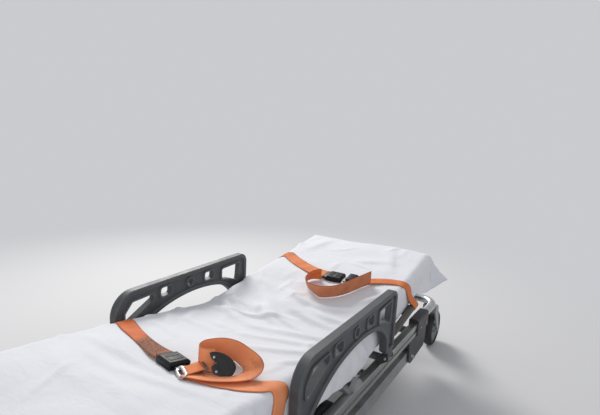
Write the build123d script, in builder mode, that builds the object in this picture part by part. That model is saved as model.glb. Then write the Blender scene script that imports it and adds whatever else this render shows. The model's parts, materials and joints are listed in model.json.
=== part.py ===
import os
from math import atan2, cos, degrees, hypot, radians, sin, tan

from build123d import *

os.makedirs("parts", exist_ok=True)

# Roll-in stretcher in its low, folded position. All numbers are millimetres.
# X runs across, +Y is the head end, Z is up and z = 0 is the floor under the wheels.

# Mattress, sheet and belts
MAT_HALF = 258.0
MAT_T = 80.0
MAT_FILLET = 20.0
MAT_CLEAR = 0.8
MAT_OVERHANG = 13.0
MAT_FOOT_Y = -982.0
FOLD_BACK_ANGLE = 60.0
FOLD_LEG_ANGLE = 128.0
FOLD_SPLIT = 0.2
SOFT_GAP = 0.3
SHEET_T = 1.2
HEM_LIFT = 4.0
STRAP_W = 50.0
STRAP_T = 2.4
STRAP_LEG_S = 376.0
STRAP_BACK_S = 418.0
STRAP_BEND_X = 195.0
THIGH_PATH = ((-202.0, 2.0), (-150.0, -12.0), (-60.0, -44.0), (32.0, -62.0), (92.0, -74.0),
              (140.0, -68.0), (178.0, -42.0), (204.0, -6.0))
CHEST_PATH = ((-202.0, 2.0), (-150.0, -33.0), (-70.0, -66.0), (25.0, -80.0), (90.0, -76.0),
              (140.0, -56.0), (178.0, -30.0), (204.0, -4.0))

# Rails, cross tubes, head hoop and foot bar
RAIL_OUT = 10.0
RAIL_W = 26.0
RAIL_H = 44.0
RAIL_Z = 186.0
RAIL_ROUND = 3.0
GROOVE_W = 12.0
GROOVE_D = 3.0
RAIL_HEAD = 680.0
RAIL_FOOT = -920.0
CROSS_R = 12.5
CROSS_Y = (-860.0, -620.0, -330.0, -150.0, 170.0, 360.0, 600.0)
HOOP_R = 16.0
HOOP_RISE = 18.0
HOOP_START = 700.0
HOOP_Y = 900.0
HOOP_BEND = 60.0
FOOT_R = 14.0
FOOT_START = -930.0
FOOT_Y = -992.5
FOOT_BEND = 42.0
GRIP_T = 3.5
GRIP_INNER = 60.0
GRIP_LEN = 130.0
HEAD_CLAMP_Y = (625.0, 745.0)
HEAD_CLAMP_WALL = 6.0
HEAD_CLAMP_COVER = 4.0
FOOT_CLAMP_Y = (-950.0, -890.0)
FOOT_CLAMP_WALL = 5.0
CLAMP_ROUND = 9.0
CLAMP_EDGE = 1.5

# Deck, backrest and hip hinge
HIP_Y = 126.0
HIP_RISE = 17.0
BACK_ANGLE = 8.57
THIGH_ANGLE = 8.8
KNEE_Y = -490.0
CALF_ANGLE = 7.4
DECK_R = 13.0
DECK_INSET = 29.0
DECK_SETBACK = 26.0
DECK_SHORT = 17.0
DECK_BEND = 120.0
BACK_LEN = 672.0
BACK_BEND = 70.0
BAR_R = 9.0
BAR_DROP = 4.0
DECK_BAR_Y = (-700.0, -260.0, -40.0)
BACK_BAR_S = (240.0, 460.0)
PANEL_LOW = 6.0
PANEL_T = 7.5
PANEL_EDGE = 8.0
PANEL_START = 34.0
PANEL_CORNER = 60.0
HINGE_ROD_R = 6.0
HINGE_EYE_R = 11.0
HINGE_BASE = 56.0
PILLOW_OUT = 4.0
PILLOW_W = 16.0
SLEEVE_OUT = 21.0
RUN = 0.05
ARM_Y = 95.0
ARM_W = 22.0
ARM_FOOT = 18.0
ARM_NECK_R = 10.0
PROP_Y = -440.0
PROP_R = 10.0
PROP_GAP = 3.0
PROP_BEND = 30.0
FOOT_PLATE = (24.0, 44.0, 5.0)
SADDLE_W = 26.0
POST_Y = -840.0
POST_NECK_R = 8.0

# Side guards and their hinges
GUARD_CLEAR = 9.8
GUARD_T = 26.0
GUARD_WEB = 12.0
GUARD_RIM = 13.0
GUARD_EDGE = 2.5
GUARD_Y0 = -212.0
GUARD_LEN = 546.0
GUARD_TOP = 433.0
GUARD_LIFT = 38.0
GUARD_CORNER = 30.0
GUARD_NEAR_CORNER = 66.0
GUARD_TOE = 7.0
LEG_NEAR = 56.0
LEG_FAR = 60.0
LEG_TAPER = 4.0
LEG_TALL = 41.0
ARCH_SHOULDER = 77.0
ARCH_CROWN = 66.5
ARCH_HALF = 99.0
ARCH_SHIFT = 18.0
NEAR_WINDOW = ((34.0, 60.0), (58.0, 33.0), (130.0, 30.0), (131.0, 46.0), (98.0, 62.0), (34.0, 94.0))
FAR_WINDOW = ((128.0, 30.0), (36.0, 28.0), (42.0, 92.0), (86.0, 74.0), (128.0, 64.0))
WINDOW_ROUND = 7.0
WINDOW_RIM = 6.0
WINDOW_RIM_T = 20.0
SLOT_HOLE = (40.0, 26.0, 8.0)
SLOT_DROP = 35.0
SLOT_NEAR = 176.0
SLOT_FAR = 190.0
ROUND_HOLE_R = 11.0
ROUND_HOLE_DROP = 34.0
PIN_OUT = 7.0
PIN_DROP = 18.0
PIN_R = 3.5
TANG_W = 30.0
TANG_T = 12.0
TANG_R = 8.0
TANG_ROOT = 14.0
EAR_R = 10.0
EAR_T = 5.0
EAR_GAP = 1.0
EAR_BASE = 19.0
HINGE_PAD_H = 8.0
PLATE_H = 4.0

# Legs, brackets, forks and wheels
LEG_INSET = 6.0
LEG_W = 22.0
LEG_H = 44.0
LEG_PIN_R = 8.0
FRONT_PIVOT_Y = 590.0
FRONT_AXLE_Y = 10.0
FRONT_R = 100.0
FRONT_INSET = 37.0
FRONT_PIN_R = 7.0
INNER_PLATE_T = 6.0
INNER_PLATE_H = 34.0
TIE_R = 15.0
TIE_GAP = 6.0
BRACE_R = 11.0
FRONT_BRACE_Y = 380.0
REAR_PIVOT_Y = -330.0
REAR_BRACE_Y = -560.0
BRACKET_PLATE = 6.0
BRACKET_CLEAR = 2.0
BRACKET_ROOF = 8.0
FRONT_BOSS_R = 26.0
FRONT_SPAN = (-34.0, 158.0)
FRONT_TAIL = (132.0, 4.0, 20.0)
REAR_BOSS_R = 22.0
REAR_SPAN = (-54.0, 52.0)
CASTER_R = 75.0
CASTER_INSET = 30.0
CASTER_TILT = 10.0
CASTER_TRAIL = 25.0
CASTER_AXLE_Y = -930.0
CASTER_PIN_R = 6.0
CROWN_GAP = 11.0
CROWN_T = 11.0
CROWN_W = 36.0
CHEEK_T = 4.0
CHEEK_BOSS_R = 13.0
HUB_GAP = 1.0
HOUSE_GAP = 3.0
HOUSE_LEN = 50.0
HOUSE_R = 21.0
NUT_R = 13.0
NUT_T = 6.0
LOAD_R = 75.0
LOAD_INSET = 13.0
LOAD_AHEAD = 35.0
LOAD_PIN_R = 6.0
FORK_T = 5.0
FORK_GAP = 1.5
FORK_BOSS_R = 11.0
FORK_PAD = (34.0, 24.0)
FORK_BACK = 47.0
FORK_SINK = 2.0
TYRE_SHOULDER = 9.0
TYRE_CROWN = 2.2
RIM_T = 4.0
RIM_DISH = 9.0
DISC_HALF = 6.0
BOSS_R = 17.0
BOSS_ROOT_R = 21.0
DISC_HOLES = 5
DISC_HOLE_SHARE = 0.3
TYRE_FLAT_SHARE = 0.3
TYRE_MID_SHARE = 0.72

# Tyre thickness, tyre width and hub width of the three kinds of wheel
FRONT_TYRE = (22.0, 40.0, 46.0)
REAR_TYRE = (19.0, 28.0, 33.0)
LOAD_TYRE = (20.0, 36.0, 41.0)

# Buckles and their tongues
BUCKLE = (70.0, 50.0, 15.0)
BUCKLE_ROUND = 8.0
BUCKLE_EDGE = 2.0
THIGH_BUCKLE = (32.0, -62.0, -13.0)
CHEST_BUCKLE = (25.0, -80.0, 2.0)
BUTTON = (22.0, 34.0, 4.0)
BUTTON_AT = 18.0
BUTTON_DEEP = 2.0
TONGUE = (44.0, 44.0, 3.0)
TONGUE_ROUND = 5.0
TONGUE_SLOT = (8.0, 34.0, 3.0)
SLOT_EDGE = 11.0
ANCHOR_H = 14.0
ANCHOR_LEN = 60.0
ANCHOR_T = 10.0
ANCHOR_FOOT = 24.0
ANCHOR_EDGE = 2.0
CHEST_ANCHOR_T = 8.0
CHEST_ANCHOR_LAP = 9.0
CHEST_ANCHOR_EDGE = 2.0

# Places that follow from the sizes above
RAIL_TOP = RAIL_Z + RAIL_H / 2
RAIL_LOW = RAIL_Z - RAIL_H / 2
RAIL_X = MAT_HALF + RAIL_OUT
DECK_X = MAT_HALF - DECK_INSET
HOOP_Z = RAIL_Z + HOOP_RISE
HIP_Z = RAIL_TOP + HIP_RISE
KNEE_Z = HIP_Z + (HIP_Y - KNEE_Y) * tan(radians(THIGH_ANGLE))
DECK_FRONT_Y = HIP_Y - DECK_SETBACK
DECK_FOOT_Y = MAT_FOOT_Y + DECK_SHORT
PANEL_TOP = PANEL_LOW + PANEL_T
MAT_LIFT = PANEL_TOP + MAT_CLEAR
MAT_TOP = MAT_LIFT + MAT_T
MAT_HEAD = BACK_LEN + MAT_OVERHANG
BAND_SIDE = MAT_HALF + SOFT_GAP + SHEET_T + SOFT_GAP
BAND_TOP = MAT_TOP + SOFT_GAP + SHEET_T + SOFT_GAP
BAND_R = MAT_FILLET + SOFT_GAP + SHEET_T + SOFT_GAP
GUARD_X = BAND_SIDE + STRAP_T + GUARD_CLEAR + GUARD_T / 2
GUARD_FOOT_Z = RAIL_TOP + GUARD_LIFT
PIN_X = GUARD_X + PIN_OUT
PIN_Z = GUARD_FOOT_Z - PIN_DROP
TANG_Y = (GUARD_Y0 + LEG_NEAR / 2, GUARD_Y0 + GUARD_LEN - LEG_FAR / 2)
LEG_X = RAIL_X - LEG_INSET
FRONT_X = LEG_X - FRONT_INSET
CASTER_X = LEG_X - CASTER_INSET
LOAD_X = RAIL_X - LOAD_INSET
LOAD_Y = HOOP_Y + LOAD_AHEAD
FRONT_PIVOT = (FRONT_PIVOT_Y, FRONT_R)
FRONT_AXLE = (FRONT_AXLE_Y, FRONT_R)
REAR_PIVOT = (REAR_PIVOT_Y, FRONT_R)
CASTER_AXLE = (CASTER_AXLE_Y, CASTER_R)
LOAD_AXLE = (LOAD_Y, LOAD_R)

# Directions of the inclined sections, as (y, z) pairs
back_u = (cos(radians(BACK_ANGLE)), sin(radians(BACK_ANGLE)))
back_n = (-back_u[1], back_u[0])
thigh_v = (-cos(radians(THIGH_ANGLE)), sin(radians(THIGH_ANGLE)))
thigh_n = (thigh_v[1], -thigh_v[0])
calf_n = (-sin(radians(CALF_ANGLE)), cos(radians(CALF_ANGLE)))
cast_d = (cos(radians(CASTER_TILT)), sin(radians(CASTER_TILT)))
cast_n = (-cast_d[1], cast_d[0])

# The sketch plane of the backrest: local x is across, local y runs up the slope
back_plane = Plane(origin=(0, HIP_Y, HIP_Z), x_dir=(1, 0, 0), z_dir=(0, back_n[0], back_n[1]))


def deck_z(y):
    """Height of the deck tube's centre line over the point y."""
    if y > KNEE_Y:
        return HIP_Z + (HIP_Y - y) * tan(radians(THIGH_ANGLE))
    return KNEE_Z - (KNEE_Y - y) * tan(radians(CALF_ANGLE))


def on_back(s, t):
    """A point s up the backrest and t above its tube line."""
    return (HIP_Y + s * back_u[0] + t * back_n[0], HIP_Z + s * back_u[1] + t * back_n[1])


def on_thigh(s, t):
    """A point s down the thigh section and t above its tube line."""
    return (HIP_Y + s * thigh_v[0] + t * thigh_n[0], HIP_Z + s * thigh_v[1] + t * thigh_n[1])


def on_calf(y, t):
    """A point t above the calf tube line at the station y."""
    return (y + t * calf_n[0], deck_z(y) + t * calf_n[1])


def ridge(origin, slope_up, slope_down, t):
    """Where two layers that meet over the origin, both t above their tubes, cross."""
    half = radians((slope_up + slope_down) / 2)
    lean = radians(90 + (slope_up - slope_down) / 2)
    return (origin[0] + t / cos(half) * cos(lean), origin[1] + t / cos(half) * sin(lean))


def knee(t):
    """Where the thigh and calf layers t above the tubes meet."""
    return ridge((KNEE_Y, KNEE_Z), CALF_ANGLE, THIGH_ANGLE, t)


def radial(angle, t, section):
    """Where the radial plane of the fold cuts the layer t of one section."""
    if section == "back":
        return on_back(t / tan(radians(angle - BACK_ANGLE)), t)
    return on_thigh(t / tan(radians(180 - THIGH_ANGLE - angle)), t)


def leg_layer(low, high, end_y):
    """Outline of the leg part of a soft layer between two heights."""
    a = FOLD_LEG_ANGLE + FOLD_SPLIT
    return [radial(a, low, "leg"), radial(a, high, "leg"), knee(high),
            on_calf(end_y, high), on_calf(end_y, low), knee(low)]


def back_layer(low, high, end_s):
    """Outline of the back part of a soft layer between two heights."""
    a = FOLD_BACK_ANGLE - FOLD_SPLIT
    return [radial(a, low, "back"), radial(a, high, "back"), on_back(end_s, high), on_back(end_s, low)]


def fold_layer(low, high):
    """Outline of the wedge of a soft layer that folds over the hip."""
    a, b = FOLD_BACK_ANGLE + FOLD_SPLIT, FOLD_LEG_ANGLE - FOLD_SPLIT
    hip = (HIP_Y, HIP_Z)
    return [radial(a, low, "back"), radial(a, high, "back"), ridge(hip, BACK_ANGLE, THIGH_ANGLE, high),
            radial(b, high, "leg"), radial(b, low, "leg"), ridge(hip, BACK_ANGLE, THIGH_ANGLE, low)]


def across(side, x_low, x_high):
    """The YZ plane from which a piece that spans x_low to x_high on one side is extruded."""
    return Plane.YZ.offset(x_low if side > 0 else -x_high)


# Two extruded rails carry everything; the groove on the outer face guides the fittings.
with BuildPart() as side_rails:
    with BuildSketch(Plane.XZ.offset(-RAIL_HEAD)):
        for side in (-1, 1):
            with Locations((side * RAIL_X, RAIL_Z)):
                RectangleRounded(RAIL_W, RAIL_H, RAIL_ROUND)
            with Locations((side * (RAIL_X + RAIL_W / 2), RAIL_Z)):
                Rectangle(2 * GROOVE_D, GROOVE_W, mode=Mode.SUBTRACT)
    extrude(amount=RAIL_HEAD - RAIL_FOOT)
side_rails.part.label = "side_rails"
export_step(side_rails.part, "parts/side_rails.step")

# Round cross tubes butt against the inner faces of the rails.
with BuildPart() as cross_members:
    rail_inside = RAIL_X - RAIL_W / 2
    with BuildSketch(Plane.YZ.offset(-rail_inside)):
        with Locations(*[(y, RAIL_Z) for y in CROSS_Y]):
            Circle(CROSS_R)
    extrude(amount=2 * rail_inside)
cross_members.part.label = "cross_members"
export_step(cross_members.part, "parts/cross_members.step")

# The bright hoop round the head end.
with BuildPart() as head_hoop:
    with BuildLine(Plane.XY.offset(HOOP_Z)) as hoop_path:
        FilletPolyline((RAIL_X, HOOP_START), (RAIL_X, HOOP_Y), (-RAIL_X, HOOP_Y),
                       (-RAIL_X, HOOP_START), radius=HOOP_BEND)
    with BuildSketch(Plane(origin=hoop_path.line @ 0, z_dir=hoop_path.line % 0)):
        Circle(HOOP_R)
    sweep(path=hoop_path.line)
head_hoop.part.label = "head_hoop"
export_step(head_hoop.part, "parts/head_hoop.step")

# The handle bar round the foot end.
with BuildPart() as foot_bar:
    with BuildLine(Plane.XY.offset(RAIL_Z)) as foot_path:
        FilletPolyline((RAIL_X, FOOT_START), (RAIL_X, FOOT_Y), (-RAIL_X, FOOT_Y),
                       (-RAIL_X, FOOT_START), radius=FOOT_BEND)
    with BuildSketch(Plane(origin=foot_path.line @ 0, z_dir=foot_path.line % 0)):
        Circle(FOOT_R)
    sweep(path=foot_path.line)
foot_bar.part.label = "foot_bar"
export_step(foot_bar.part, "parts/foot_bar.step")

# Rubber grips slid over the foot bar, left and right of its middle.
with BuildPart() as foot_grips:
    for side in (-1, 1):
        with BuildSketch(across(side, GRIP_INNER, GRIP_INNER + GRIP_LEN)):
            with Locations((FOOT_Y, RAIL_Z)):
                Circle(FOOT_R + GRIP_T)
                Circle(FOOT_R, mode=Mode.SUBTRACT)
        extrude(amount=GRIP_LEN)
foot_grips.part.label = "foot_grips"
export_step(foot_grips.part, "parts/foot_grips.step")

# Cast sleeves join the rails to the hoop at the head and to the handle bar at the foot.
with BuildPart() as tube_clamps:
    head_low = RAIL_LOW - HEAD_CLAMP_COVER
    head_high = HOOP_Z + HOOP_R + HEAD_CLAMP_COVER
    for side in (-1, 1):
        with BuildSketch(Plane.XZ.offset(-HEAD_CLAMP_Y[1])):
            with Locations((side * RAIL_X, (head_low + head_high) / 2)):
                RectangleRounded(RAIL_W + 2 * HEAD_CLAMP_WALL, head_high - head_low, CLAMP_ROUND)
        extrude(amount=HEAD_CLAMP_Y[1] - HEAD_CLAMP_Y[0])
        with BuildSketch(Plane.XZ.offset(-FOOT_CLAMP_Y[1])):
            with Locations((side * RAIL_X, RAIL_Z)):
                RectangleRounded(RAIL_W + 2 * FOOT_CLAMP_WALL, RAIL_H + 2 * HEAD_CLAMP_COVER, CLAMP_ROUND)
        extrude(amount=FOOT_CLAMP_Y[1] - FOOT_CLAMP_Y[0])
    end_faces = tube_clamps.faces().filter_by(Axis.Y)
    chamfer(end_faces.edges(), CLAMP_EDGE)
    with BuildSketch(Plane.XZ.offset(-RAIL_HEAD)):
        with Locations((-RAIL_X, RAIL_Z), (RAIL_X, RAIL_Z)):
            RectangleRounded(RAIL_W, RAIL_H, RAIL_ROUND)
    extrude(amount=RAIL_HEAD - RAIL_FOOT, mode=Mode.SUBTRACT)
    with BuildSketch(Plane.XZ.offset(-HOOP_START)):
        with Locations((-RAIL_X, HOOP_Z), (RAIL_X, HOOP_Z)):
            Circle(HOOP_R)
    extrude(amount=HOOP_START - HEAD_CLAMP_Y[1], mode=Mode.SUBTRACT)
    with BuildSketch(Plane.XZ.offset(-FOOT_START)):
        with Locations((-RAIL_X, RAIL_Z), (RAIL_X, RAIL_Z)):
            Circle(FOOT_R)
    extrude(amount=FOOT_START - FOOT_CLAMP_Y[0], mode=Mode.SUBTRACT)
tube_clamps.part.label = "tube_clamps"
export_step(tube_clamps.part, "parts/tube_clamps.step")

# Inverted channels under the rails carry the pivots of the two sets of legs. The front pair
# reaches back under the head clamps and steps down by the clamps' thickness there.
bracket_half = LEG_W / 2 + BRACKET_CLEAR + BRACKET_PLATE
bracket_shapes = {
    "front_leg_brackets": (FRONT_PIVOT, FRONT_SPAN, FRONT_BOSS_R, FRONT_TAIL, HEAD_CLAMP_COVER),
    "rear_leg_brackets": (REAR_PIVOT, REAR_SPAN, REAR_BOSS_R, None, 0.0),
}
for label, (pivot, span, boss_r, tail, step) in bracket_shapes.items():
    strip_high = RAIL_LOW - step
    strip_low = RAIL_LOW - BRACKET_ROOF - step
    strip_mid = (pivot[0] + sum(span) / 2, (strip_high + strip_low) / 2)
    with BuildPart() as leg_brackets:
        for side in (-1, 1):
            for inner in (LEG_X - bracket_half, LEG_X + bracket_half - BRACKET_PLATE):
                with BuildSketch(across(side, inner, inner + BRACKET_PLATE)):
                    with Locations(pivot):
                        Circle(boss_r)
                    with Locations(strip_mid):
                        Rectangle(span[1] - span[0], strip_high - strip_low)
                    if tail:
                        with Locations((pivot[0] + tail[0], pivot[1] + tail[1])):
                            Circle(tail[2])
                    make_hull()
                extrude(amount=BRACKET_PLATE)
            with BuildSketch(across(side, LEG_X - bracket_half, LEG_X + bracket_half)):
                with Locations(strip_mid):
                    Rectangle(span[1] - span[0], strip_high - strip_low)
                if step:
                    seat_end = HEAD_CLAMP_Y[0]
                    seat_len = seat_end - pivot[0] - span[0]
                    with Locations((seat_end - seat_len / 2, RAIL_LOW - step)):
                        Rectangle(seat_len, 2 * step)
                with Locations(pivot):
                    Circle(LEG_PIN_R)
            extrude(amount=2 * bracket_half)
    leg_brackets.part.label = label
    export_step(leg_brackets.part, f"parts/{label}.step")

# Slim forks of the small loading wheels hang under the corners of the head hoop.
with BuildPart() as loading_forks:
    fork_inner = LOAD_TYRE[2] / 2 + FORK_GAP
    fork_half = fork_inner + FORK_T
    pad_at = (LOAD_Y - FORK_BACK, HOOP_Z - HOOP_R - FORK_PAD[1] / 2 + FORK_SINK)
    for side in (-1, 1):
        for inner in (LOAD_X - fork_half, LOAD_X + fork_inner):
            with BuildSketch(across(side, inner, inner + FORK_T)):
                with Locations(pad_at):
                    Rectangle(*FORK_PAD)
                with Locations(LOAD_AXLE):
                    Circle(FORK_BOSS_R)
                make_hull()
            extrude(amount=FORK_T)
        with BuildSketch(across(side, LOAD_X - fork_half, LOAD_X + fork_half)):
            with Locations(pad_at):
                Rectangle(*FORK_PAD)
            with Locations(LOAD_AXLE):
                Circle(LOAD_PIN_R)
        extrude(amount=2 * fork_half)
    add(head_hoop.part, mode=Mode.SUBTRACT)
loading_forks.part.label = "loading_forks"
export_step(loading_forks.part, "parts/loading_forks.step")

# The deck's side tube is bent at the knees and round the foot end in one piece. Every piece
# that is saddled on it is cut from it.
with BuildPart() as deck_tube:
    deck_stations = [(DECK_FRONT_Y, deck_z(DECK_FRONT_Y)), (KNEE_Y, KNEE_Z),
                     (DECK_FOOT_Y, deck_z(DECK_FOOT_Y))]
    right_run = [(DECK_X, y, z) for y, z in deck_stations]
    left_run = [(-DECK_X, y, z) for y, z in reversed(deck_stations)]
    with BuildLine() as deck_path:
        FilletPolyline(*right_run, *left_run, radius=(DECK_BEND, BACK_BEND, BACK_BEND, DECK_BEND))
    with BuildSketch(Plane(origin=deck_path.line @ 0, z_dir=deck_path.line % 0)):
        Circle(DECK_R)
    sweep(path=deck_path.line)

# Tube frame under the thighs and lower legs, with its cross tubes.
with BuildPart() as leg_deck_frame:
    add(deck_tube.part)
    with BuildSketch(Plane.YZ.offset(-DECK_X)):
        with Locations(*[(y, deck_z(y) - BAR_DROP) for y in DECK_BAR_Y]):
            Circle(BAR_R)
    extrude(amount=2 * DECK_X)
leg_deck_frame.part.label = "leg_deck_frame"
export_step(leg_deck_frame.part, "parts/leg_deck_frame.step")

# Panel let in between the deck tubes, square at the hip and round at the foot end.
with BuildPart() as leg_deck_panel:
    panel_half = DECK_X - PANEL_EDGE
    with BuildSketch(Plane.YZ.offset(-panel_half)):
        with BuildLine():
            Polyline(on_thigh(PANEL_START, PANEL_LOW), on_thigh(PANEL_START, PANEL_TOP),
                     knee(PANEL_TOP), on_calf(DECK_FOOT_Y, PANEL_TOP),
                     on_calf(DECK_FOOT_Y, PANEL_LOW), knee(PANEL_LOW), close=True)
        make_face()
    extrude(amount=2 * panel_half)
    foot_corners = leg_deck_panel.edges().filter_by(lambda e: abs((e % 0.5).Z) > 0.9)
    fillet(foot_corners.group_by(Axis.Y)[0], PANEL_CORNER)
    add(leg_deck_frame.part, mode=Mode.SUBTRACT)
leg_deck_panel.part.label = "leg_deck_panel"
export_step(leg_deck_panel.part, "parts/leg_deck_panel.step")

# A bent prop under the knee and two slanted posts near the foot hold the deck up.
with BuildPart() as knee_props:
    prop_z = deck_z(PROP_Y) - DECK_R - PROP_GAP - PROP_R
    post_z = deck_z(POST_Y) - POST_NECK_R
    with BuildLine(Plane.XZ.offset(-PROP_Y)) as prop_path:
        FilletPolyline((-RAIL_X, RAIL_TOP), (-RAIL_X, prop_z), (RAIL_X, prop_z), (RAIL_X, RAIL_TOP),
                       radius=PROP_BEND)
    with BuildSketch(Plane(origin=prop_path.line @ 0, z_dir=prop_path.line % 0)):
        Circle(PROP_R)
    sweep(path=prop_path.line)
    with BuildSketch(Plane.XY.offset(RAIL_TOP)):
        with Locations((-RAIL_X, PROP_Y), (RAIL_X, PROP_Y)):
            RectangleRounded(FOOT_PLATE[0], FOOT_PLATE[1], PANEL_EDGE)
    extrude(amount=FOOT_PLATE[2])
    for side in (-1, 1):
        with BuildSketch(Plane.XZ.offset(-PROP_Y - SADDLE_W / 2)):
            with Locations((side * DECK_X, prop_z)):
                Circle(PROP_R + PROP_GAP)
            with Locations((side * DECK_X, deck_z(PROP_Y) - 2 * BAR_DROP)):
                Rectangle(2 * DECK_R, BAR_DROP)
            make_hull()
        extrude(amount=SADDLE_W)
        with BuildSketch(Plane.XZ.offset(-POST_Y - SADDLE_W / 2)):
            with Locations((side * DECK_X, post_z)):
                Circle(POST_NECK_R)
            with Locations((side * RAIL_X, RAIL_TOP + PLATE_H / 2)):
                Rectangle(FOOT_PLATE[0], PLATE_H)
            make_hull()
        extrude(amount=SADDLE_W)
    add(deck_tube.part, mode=Mode.SUBTRACT)
knee_props.part.label = "knee_props"
export_step(knee_props.part, "parts/knee_props.step")

# Pillow blocks on the rails, the hinge rod between them and the arms that hold the deck.
with BuildPart() as hip_hinge:
    rod_half = RAIL_X + PILLOW_OUT + PILLOW_W / 2
    for side in (-1, 1):
        with BuildSketch(across(side, rod_half - PILLOW_W, rod_half)):
            with Locations((HIP_Y, HIP_Z)):
                Circle(HINGE_EYE_R)
            with Locations((HIP_Y, RAIL_TOP + PLATE_H / 2)):
                Rectangle(HINGE_BASE, PLATE_H)
            make_hull()
        extrude(amount=PILLOW_W)
        with BuildSketch(Plane.XZ.offset(-ARM_Y - ARM_W / 2)):
            with Locations((side * DECK_X, deck_z(ARM_Y) - ARM_NECK_R)):
                Circle(ARM_NECK_R)
            with Locations((side * (rail_inside + ARM_FOOT / 2), RAIL_TOP + PLATE_H / 2)):
                Rectangle(ARM_FOOT, PLATE_H)
            make_hull()
        extrude(amount=ARM_W)
    add(deck_tube.part, mode=Mode.SUBTRACT)
    with BuildSketch(Plane.YZ.offset(-rod_half)):
        with Locations((HIP_Y, HIP_Z)):
            Circle(HINGE_ROD_R)
    extrude(amount=2 * rod_half)
hip_hinge.part.label = "hip_hinge"
export_step(hip_hinge.part, "parts/hip_hinge.step")

# The bent tube of the backrest, which its panel and the belt anchors are cut from.
with BuildPart() as back_tube:
    with BuildLine(back_plane) as back_path:
        FilletPolyline((-DECK_X, 0), (-DECK_X, BACK_LEN), (DECK_X, BACK_LEN), (DECK_X, 0),
                       radius=BACK_BEND)
    with BuildSketch(Plane(origin=back_path.line @ 0, z_dir=back_path.line % 0)):
        Circle(DECK_R)
    sweep(path=back_path.line)

# The backrest: its bent tube, a sleeve on the hinge rod and two cross tubes.
with BuildPart() as backrest_frame:
    sleeve_half = DECK_X + SLEEVE_OUT
    add(back_tube.part)
    with BuildSketch(Plane.YZ.offset(-DECK_X)):
        with Locations(*[on_back(s, -BAR_DROP) for s in BACK_BAR_S]):
            Circle(BAR_R)
    extrude(amount=2 * DECK_X)
    with BuildSketch(Plane.YZ.offset(-sleeve_half)):
        with Locations((HIP_Y, HIP_Z)):
            Circle(DECK_R)
    extrude(amount=2 * sleeve_half)
    with BuildSketch(Plane.YZ.offset(-sleeve_half)):
        with Locations((HIP_Y, HIP_Z)):
            Circle(HINGE_ROD_R + RUN)
    extrude(amount=2 * sleeve_half, mode=Mode.SUBTRACT)
backrest_frame.part.label = "backrest_frame"
export_step(backrest_frame.part, "parts/backrest_frame.step")

# Panel of the backrest, round at the head end and square at the hip.
with BuildPart() as backrest_panel:
    with BuildSketch(back_plane.offset(PANEL_LOW)):
        with Locations((0, (PANEL_START + BACK_LEN) / 2)):
            RectangleRounded(2 * panel_half, BACK_LEN - PANEL_START, PANEL_CORNER)
        with Locations((0, PANEL_START + PANEL_CORNER)):
            Rectangle(2 * panel_half, 2 * PANEL_CORNER)
    extrude(amount=PANEL_T)
    add(backrest_frame.part, mode=Mode.SUBTRACT)
backrest_panel.part.label = "backrest_panel"
export_step(backrest_panel.part, "parts/backrest_panel.step")

# The soft layers: mattress and sheet, each in a leg part, a back part and the fold between.
# The sheet is a skin over the top, the sides and the ends, with its hem above the underside.
skin_in = MAT_TOP + SOFT_GAP
skin_out = skin_in + SHEET_T
end_in = MAT_HEAD + SOFT_GAP
foot_in = MAT_FOOT_Y - SOFT_GAP
hem = MAT_LIFT + HEM_LIFT
soft_shapes = {
    "leg": (leg_layer(MAT_LIFT, MAT_TOP, MAT_FOOT_Y), leg_layer(-MAT_T, skin_in, foot_in),
            leg_layer(hem, skin_out, foot_in - SHEET_T)),
    "back": (back_layer(MAT_LIFT, MAT_TOP, MAT_HEAD), back_layer(-MAT_T, skin_in, end_in),
             back_layer(hem, skin_out, end_in + SHEET_T)),
    "fold": (fold_layer(MAT_LIFT, MAT_TOP), fold_layer(1, skin_in), fold_layer(hem, skin_out)),
}


def long_edges(solid, x, z_low):
    """The edges that run along the bed at the half width x, above the height z_low."""
    return [e for e in solid.edges()
            if abs(abs(e.center().X) - x) < 1e-3 and abs((e % 0.5).Y) > 0.9 and e.center().Z > z_low]


for label, (core, inner, outer) in soft_shapes.items():
    with BuildPart() as mattress:
        with BuildSketch(Plane.YZ.offset(-MAT_HALF)):
            with BuildLine():
                Polyline(*core, close=True)
            make_face()
        extrude(amount=2 * MAT_HALF)
        fillet(long_edges(mattress, MAT_HALF, 0), MAT_FILLET)
    mattress.part.label = f"mattress_{label}"
    export_step(mattress.part, f"parts/mattress_{label}.step")
    hollow_half = MAT_HALF + SOFT_GAP
    skin_half = hollow_half + SHEET_T
    ridge_low = HIP_Z + MAT_LIFT + MAT_T / 2
    with BuildPart() as hollow:
        with BuildSketch(Plane.YZ.offset(-hollow_half)):
            with BuildLine():
                Polyline(*inner, close=True)
            make_face()
        extrude(amount=2 * hollow_half)
        fillet(long_edges(hollow, hollow_half, ridge_low), MAT_FILLET + SOFT_GAP)
    with BuildPart() as sheet:
        with BuildSketch(Plane.YZ.offset(-skin_half)):
            with BuildLine():
                Polyline(*outer, close=True)
            make_face()
        extrude(amount=2 * skin_half)
        fillet(long_edges(sheet, skin_half, ridge_low), MAT_FILLET + SOFT_GAP + SHEET_T)
        add(hollow.part, mode=Mode.SUBTRACT)
    sheet.part.label = f"sheet_{label}"
    export_step(sheet.part, f"parts/sheet_{label}.step")

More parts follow.
